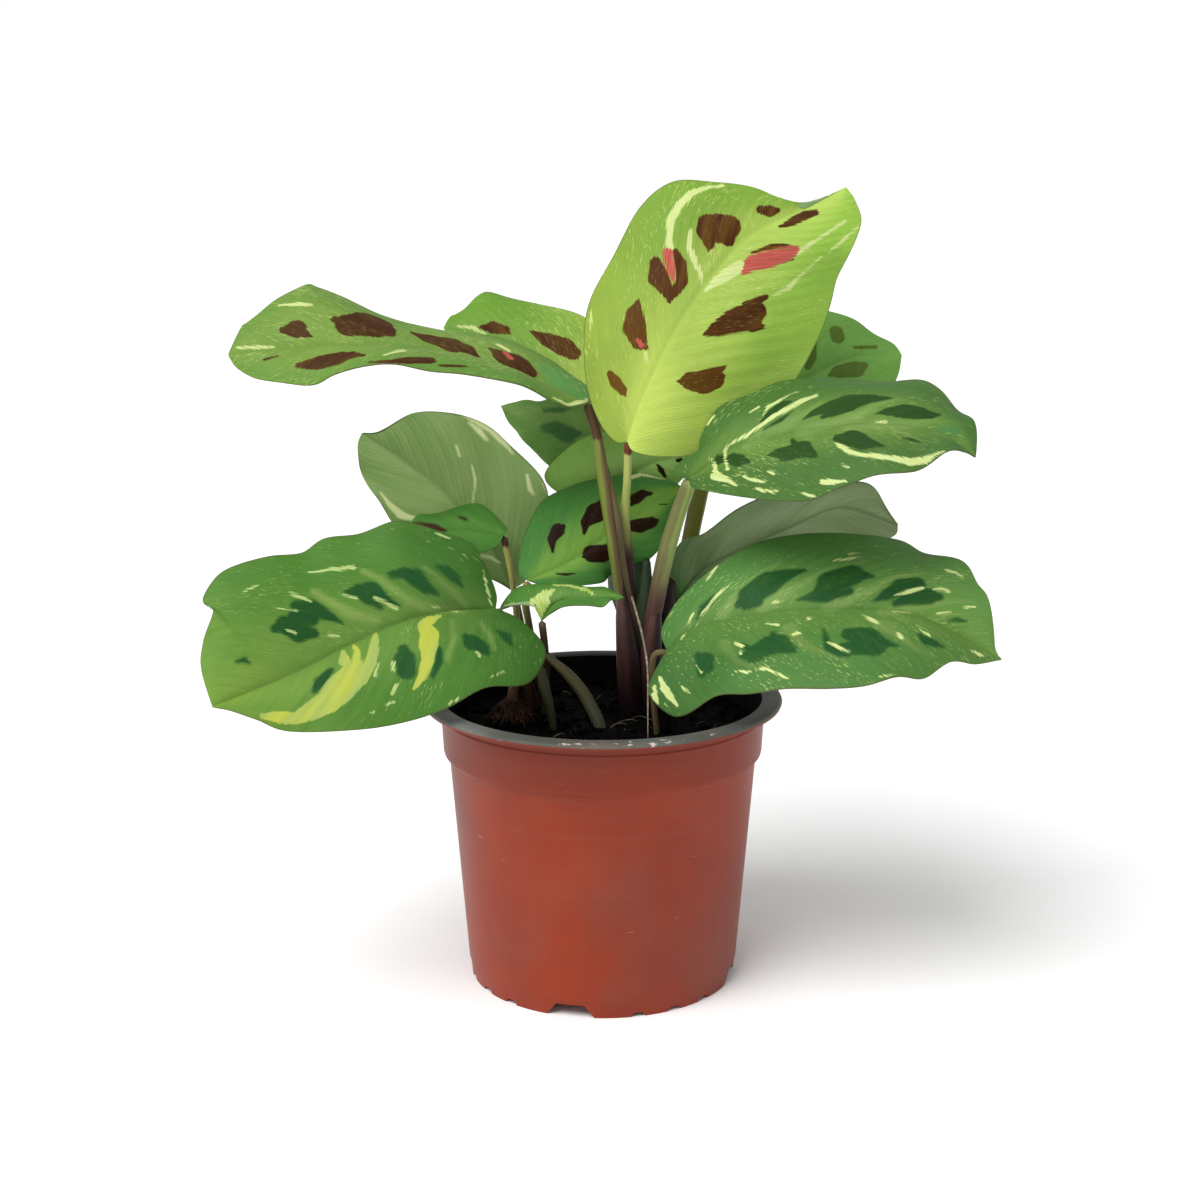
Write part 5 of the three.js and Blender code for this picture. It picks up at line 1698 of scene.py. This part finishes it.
# %% Paint the pot
OUTSIDE, LIP, INSIDE = range(3)
POT_LOOKS = [
    # The collar amount is painted shade, together with wear.
    ("pot_outside", 0.22, {"Painted Collar Shade": 0.25, "Scuffs": 0.3}),
    ("pot_lip", 0.22, {
        "Main": (106, 111, 108), "Second": (74, 74, 68), "Scuff": (222, 200, 190),
        "Dust": (118, 104, 92), "Scuffs": 0.65, "Dustiness": 0.6, "Gloss": 0.5,
        # The back amount paints shade on the far side of the lip.
        "Scuff Share": 0.02, "Front Wear": 0.12, "Painted Back Shade": 0.85,
    }),
    ("pot_inside", 0.08, {
        "Main": (4, 4, 5), "Second": (9, 8, 8), "Scuff": (40, 36, 32),
        "Dust": (16, 14, 12), "Scuffs": 0.1, "Dustiness": 0.3, "Gloss": 0.7,
    }),
]
for name, specular, values in POT_LOOKS:
    pot.data.materials.append(dress(name, plastic, values, specular))

LIP_LOWEST = 95.9
LIP_INNER_RADIUS = 53.6

outer = Route([(radius, 0, level) for radius, level in POT_OUTSIDE[1:]])
for face in pot.data.polygons:
    x, y, z = (value / MM for value in face.center)
    radius = math.hypot(x, y)
    middle = np.interp(z, outer.points[:, 2], outer.points[:, 0]) - WALL / 2
    if z > LIP_LOWEST:
        face.material_index = LIP if radius > LIP_INNER_RADIUS else INSIDE
    else:
        under_floor = z < FLOOR_Z + 0.1
        face.material_index = OUTSIDE if under_floor or radius > middle else INSIDE
finish_piece(pot, "nursery_pot", ["pot"])

# %% [markdown]
# ## Potting mix
# Peat is a loose heap of dark crumbs. A square grid is pushed into a disc and roughened by
# fractal noise, and Solidify closes it from below. The bed sinks a little towards the wall.

# %% Soil bed
SOIL_TOP = 88
SOIL_RADIUS = 52.0
SOIL_DEPTH = 6
SOIL_WAVE = 0.7
SOIL_LUMPS = 0.9
LUMP_PITCH = 0.16
WALL_ZONE = 6
WALL_DROP = 1.2
BED_GRID = 110


def soil_level(x, y):
    wave = SOIL_WAVE * math.sin(x / 7) * math.cos(y / 9 + 1)
    lumps = noise.fractal(Vector((x, y, 3.0)) * LUMP_PITCH, 0.9, 2.1, 4)
    wall = min(max(SOIL_RADIUS - math.hypot(x, y), 0) / WALL_ZONE, 1)
    return SOIL_TOP + (wave + SOIL_LUMPS * lumps) * wall - WALL_DROP * (1 - wall)


soil = start_piece(
    bpy.ops.mesh.primitive_grid_add, x_subdivisions=BED_GRID, y_subdivisions=BED_GRID, size=2
)
flat = read_points(soil)
disc_x = flat[:, 0] * np.sqrt(1 - flat[:, 1] ** 2 / 2) * SOIL_RADIUS
disc_y = flat[:, 1] * np.sqrt(1 - flat[:, 0] ** 2 / 2) * SOIL_RADIUS
levels = [soil_level(x, y) for x, y in zip(disc_x, disc_y)]
write_points(soil, np.stack([disc_x, disc_y, levels], axis=1) * MM)
bed = soil.modifiers.new("depth", "SOLIDIFY")
bed.thickness = SOIL_DEPTH * MM
bed.offset = -1
apply_all(soil)
shade_smooth(soil)
print("soil bed", len(soil.data.polygons), "faces")

# %% [markdown]
# ## The look of earth
# Moist peat is almost black, with browner crumbs and a few pale specks of fibre. Old roots are
# the same stuff in lighter tones, so one group serves them all.

# %% Node group for crumbs and old roots
EARTH_INPUTS = {
    "Main": (3, 2, 2),
    "Crumb": (11, 8, 6),
    "Fleck": (120, 108, 92),
    "Flecks": 0.4,
}

tree, given, put = new_group("dark earth", EARTH_INPUTS)
place = object_place(tree)
lump = cloud(tree, place, scale=420, detail=3)
patch = cloud(tree, place, scale=70)
colour = blend(tree, ramp(tree, lump, 0.45, 0.75), given["Main"], given["Crumb"])
colour = cover(tree, colour, ramp(tree, patch, 0.4, 0.7), 0.5, given["Main"])
speck = grain(tree, place, (900, 500, 700), detail=1)
colour = cover(tree, colour, ramp(tree, speck, 0.76, 0.8), given["Flecks"], given["Fleck"])
height = scaled(tree, lump, 1.2, times(tree, patch, 0.5))
deliver(tree, put, colour, scaled(tree, lump, 0.2, 0.7), height)
earth = tree

soil.data.materials.append(dress("potting_mix", earth, {}, specular=0.03))
finish_piece(soil, "potting_mix", ["soil"])

# %% [markdown]
# ## Loose crumbs
# A heap of peat never lies flat: single lumps stand out of it and catch the light. Six lumps are
# dented by noise, and each copy gets its own size, turn and place before all are joined. Most
# crumbs are small, and the fixed seed puts them in the same places each time.

# %% Crumbs
CRUMB_KINDS = 6
CRUMB_COUNT = 520
CRUMB_RADIUS = 1.7
DENT_DEPTH = 0.45
DENT_PITCH = 1.7

kinds = []
for kind in range(CRUMB_KINDS):
    lump = start_piece(bpy.ops.mesh.primitive_ico_sphere_add, subdivisions=1, radius=1)
    points = read_points(lump)
    elsewhere = Vector((kind * 5.0, 0, 0))
    dents = [noise.noise(Vector(point) * DENT_PITCH + elsewhere) for point in points]
    write_points(lump, points * (1 + DENT_DEPTH * np.array(dents))[:, None])
    kinds.append(lump)

crumbs = []
for _ in range(CRUMB_COUNT):
    away = SOIL_RADIUS * math.sqrt(random.random()) * 0.97
    angle = random.uniform(0, 2 * math.pi)
    x, y = away * math.cos(angle), away * math.sin(angle)
    size = random.uniform(0.35, 1.0) ** 1.6 * CRUMB_RADIUS
    kind = random.choice(kinds)
    crumb = kind.copy()
    crumb.data = kind.data.copy()
    bpy.context.collection.objects.link(crumb)
    crumb.location = (x * MM, y * MM, (soil_level(x, y) + 0.35 * size) * MM)
    crumb.rotation_euler = [random.uniform(0, math.tau) for _ in range(3)]
    crumb.scale = [size * MM * random.uniform(0.7, 1.2) for _ in range(3)]
    crumbs.append(crumb)
crumb_heap = join_pieces(crumbs)
for kind in kinds:
    bpy.data.objects.remove(kind)
crumb_heap.data.materials.append(
    dress("crumb_mix", earth, {"Crumb": (15, 11, 8), "Flecks": 0.4}, specular=0.03)
)
finish_piece(crumb_heap, "soil_crumbs")

# %% [markdown]
# ## Dead roots and fibres
# Round the old root stub is a tuft of brown hair roots, and thin pale fibres lie on the soil. Each
# is a short bent strand that droops to the soil, drawn as a curve with a small round bevel and
# turned into a mesh.

# %% One strand
STRAND_STEP = 1.5


def model_strand(points, radius, name):
    """A thin strand through points in mm, thinning towards its free end."""
    line = Route(points)
    steps = max(int(line.length / STRAND_STEP), 8)
    curve = bpy.data.curves.new(name, "CURVE")
    curve.dimensions = "3D"
    curve.bevel_depth = radius * MM
    curve.bevel_resolution = 1
    curve.use_fill_caps = True
    strand = curve.splines.new("POLY")
    strand.points.add(steps)
    for step, point in enumerate(strand.points):
        share = step / steps
        point.co = (*(line.at(share) * MM), 1)
        point.radius = max(1 - share**3, 0.15)
    piece = bpy.data.objects.new(name, curve)
    bpy.context.collection.objects.link(piece)
    bpy.ops.object.select_all(action="DESELECT")
    piece.select_set(True)
    bpy.context.view_layer.objects.active = piece
    bpy.ops.object.convert(target="MESH")
    return bpy.context.object


def hair_root(foot, heading, reach):
    x, y, z = foot
    points = [(x, y, z)]
    for step in range(1, 5):
        share = step / 4
        bend = random.uniform(-0.9, 0.9)
        points.append((
            x + reach * share * math.cos(heading) + bend,
            y + reach * share * math.sin(heading) + bend,
            max(z + 3.2 * share * (1 - share) * 2 - (z - SOIL_TOP) * share, SOIL_TOP - 0.3),
        ))
    return points


# %% [markdown]
# ## Tuft and litter
# The tuft stands close round the stub and narrows upwards. The fibres are few, and lie anywhere.

# %% Tuft and litter
TUFT_PLACE = (-30.8, -1.6)
TUFT_HAIRS = 130
TUFT_HEIGHT = 8
TUFT_SPREAD = 3.6
TUFT_TAPER = 0.3
LITTER_COUNT = 16

tuft = []
for _ in range(TUFT_HAIRS):
    level = random.uniform(0, TUFT_HEIGHT)
    spread = TUFT_SPREAD - TUFT_TAPER * level
    x, y = (middle + random.uniform(-spread, spread) for middle in TUFT_PLACE)
    foot = (x, y, SOIL_TOP + level)
    route = hair_root(foot, random.uniform(0, math.tau), random.uniform(3, 9.5))
    tuft.append(model_strand(route, random.uniform(0.25, 0.7), "hair_root"))
root_tuft = join_pieces(tuft)
root_tuft.data.materials.append(
    dress("hair_root_skin", earth, {"Main": (58, 31, 22), "Crumb": (106, 68, 50)}, specular=0.3)
)
finish_piece(root_tuft, "root_tuft")

litter = []
for _ in range(LITTER_COUNT):
    away, angle = random.uniform(12, 49), random.uniform(0, math.tau)
    foot = (away * math.cos(angle), away * math.sin(angle), SOIL_TOP + 0.6)
    route = hair_root(foot, random.uniform(0, math.tau), random.uniform(4, 12))
    litter.append(model_strand(route, random.uniform(0.12, 0.25), "fibre"))
fibres = join_pieces(litter)
fibres.data.materials.append(
    dress("fibre_skin", earth, {"Main": (64, 55, 45), "Crumb": (112, 98, 80)}, specular=0.3)
)
finish_piece(fibres, "soil_fibres")

# %% [markdown]
# ## A withered thread
# A pale dry thread hangs in front of the stalks: the skin of a dead shoot that still clings to
# them and runs down to the soil.

# %% Withered thread
THREAD_RADIUS = 0.42
THREAD_ROUTE = [
    (9.6, -3.5, 131), (11.8, -8, 124), (13.6, -13, 117), (14.6, -20, 110), (14.4, -33, 100),
    (14.2, -44, 90.5),
]

thread = model_strand(THREAD_ROUTE, THREAD_RADIUS, "withered_thread")
thread.data.materials.append(
    dress("withered_skin", earth, {"Main": (120, 104, 88), "Crumb": (170, 156, 136)}, specular=0.3)
)
finish_piece(thread, "withered_thread")

# %% [markdown]
# ## Floor and light
# The plant stands on a plain white floor under soft studio light: an even white sky, one broad
# lamp from the upper left that lays a soft shadow to the right, and a faint one from the front.
# The sky is brighter where the camera sees it directly, so that floor and background meet
# without an edge.

# %% Floor and light
FLOOR_SIZE = 12
PAPER_WHITE = (0.95, 0.95, 0.95, 1)
PAPER_ROUGHNESS = 0.9
SKY_LIGHT = 0.56
SKY_SEEN = 1.0
SUN_POWER = 2.7
SUN_SOFTNESS = 40
SUN_FROM = (-0.54, -0.62, 1.14)
FILL_POWER = 0.30
FILL_SOFTNESS = 60
FILL_FROM = (-0.35, -1.0, 0.45)

floor = start_piece(bpy.ops.mesh.primitive_plane_add, size=FLOOR_SIZE)
floor.name = "floor"
paper = bpy.data.materials.new("white_paper")
paper.use_nodes = True
paper_shader = find_node(paper.node_tree, "BSDF_PRINCIPLED")
paper_shader.inputs["Base Color"].default_value = PAPER_WHITE
paper_shader.inputs["Roughness"].default_value = PAPER_ROUGHNESS
floor.data.materials.append(paper)


def broad_light(name, power, softness, origin):
    bpy.ops.object.light_add(type="SUN")
    lamp = bpy.context.object
    lamp.name = name
    lamp.data.energy = power
    lamp.data.angle = math.radians(softness)
    lamp.rotation_euler = Vector(origin).to_track_quat("Z", "Y").to_euler()


broad_light("soft_sun", SUN_POWER, SUN_SOFTNESS, SUN_FROM)
broad_light("front_fill", FILL_POWER, FILL_SOFTNESS, FILL_FROM)

world = bpy.data.worlds.new("soft_sky")
bpy.context.scene.world = world
world.use_nodes = True
tree = world.node_tree
sky = find_node(tree, "BACKGROUND")
path = tree.nodes.new("ShaderNodeLightPath")
seen = scaled(tree, path.outputs["Is Camera Ray"], SKY_SEEN - SKY_LIGHT, SKY_LIGHT)
sky.inputs["Color"].default_value = (1, 1, 1, 1)
tree.links.new(seen, sky.inputs["Strength"])
bpy.context.scene.view_settings.view_transform = "Standard"
print("sun from", SUN_FROM)
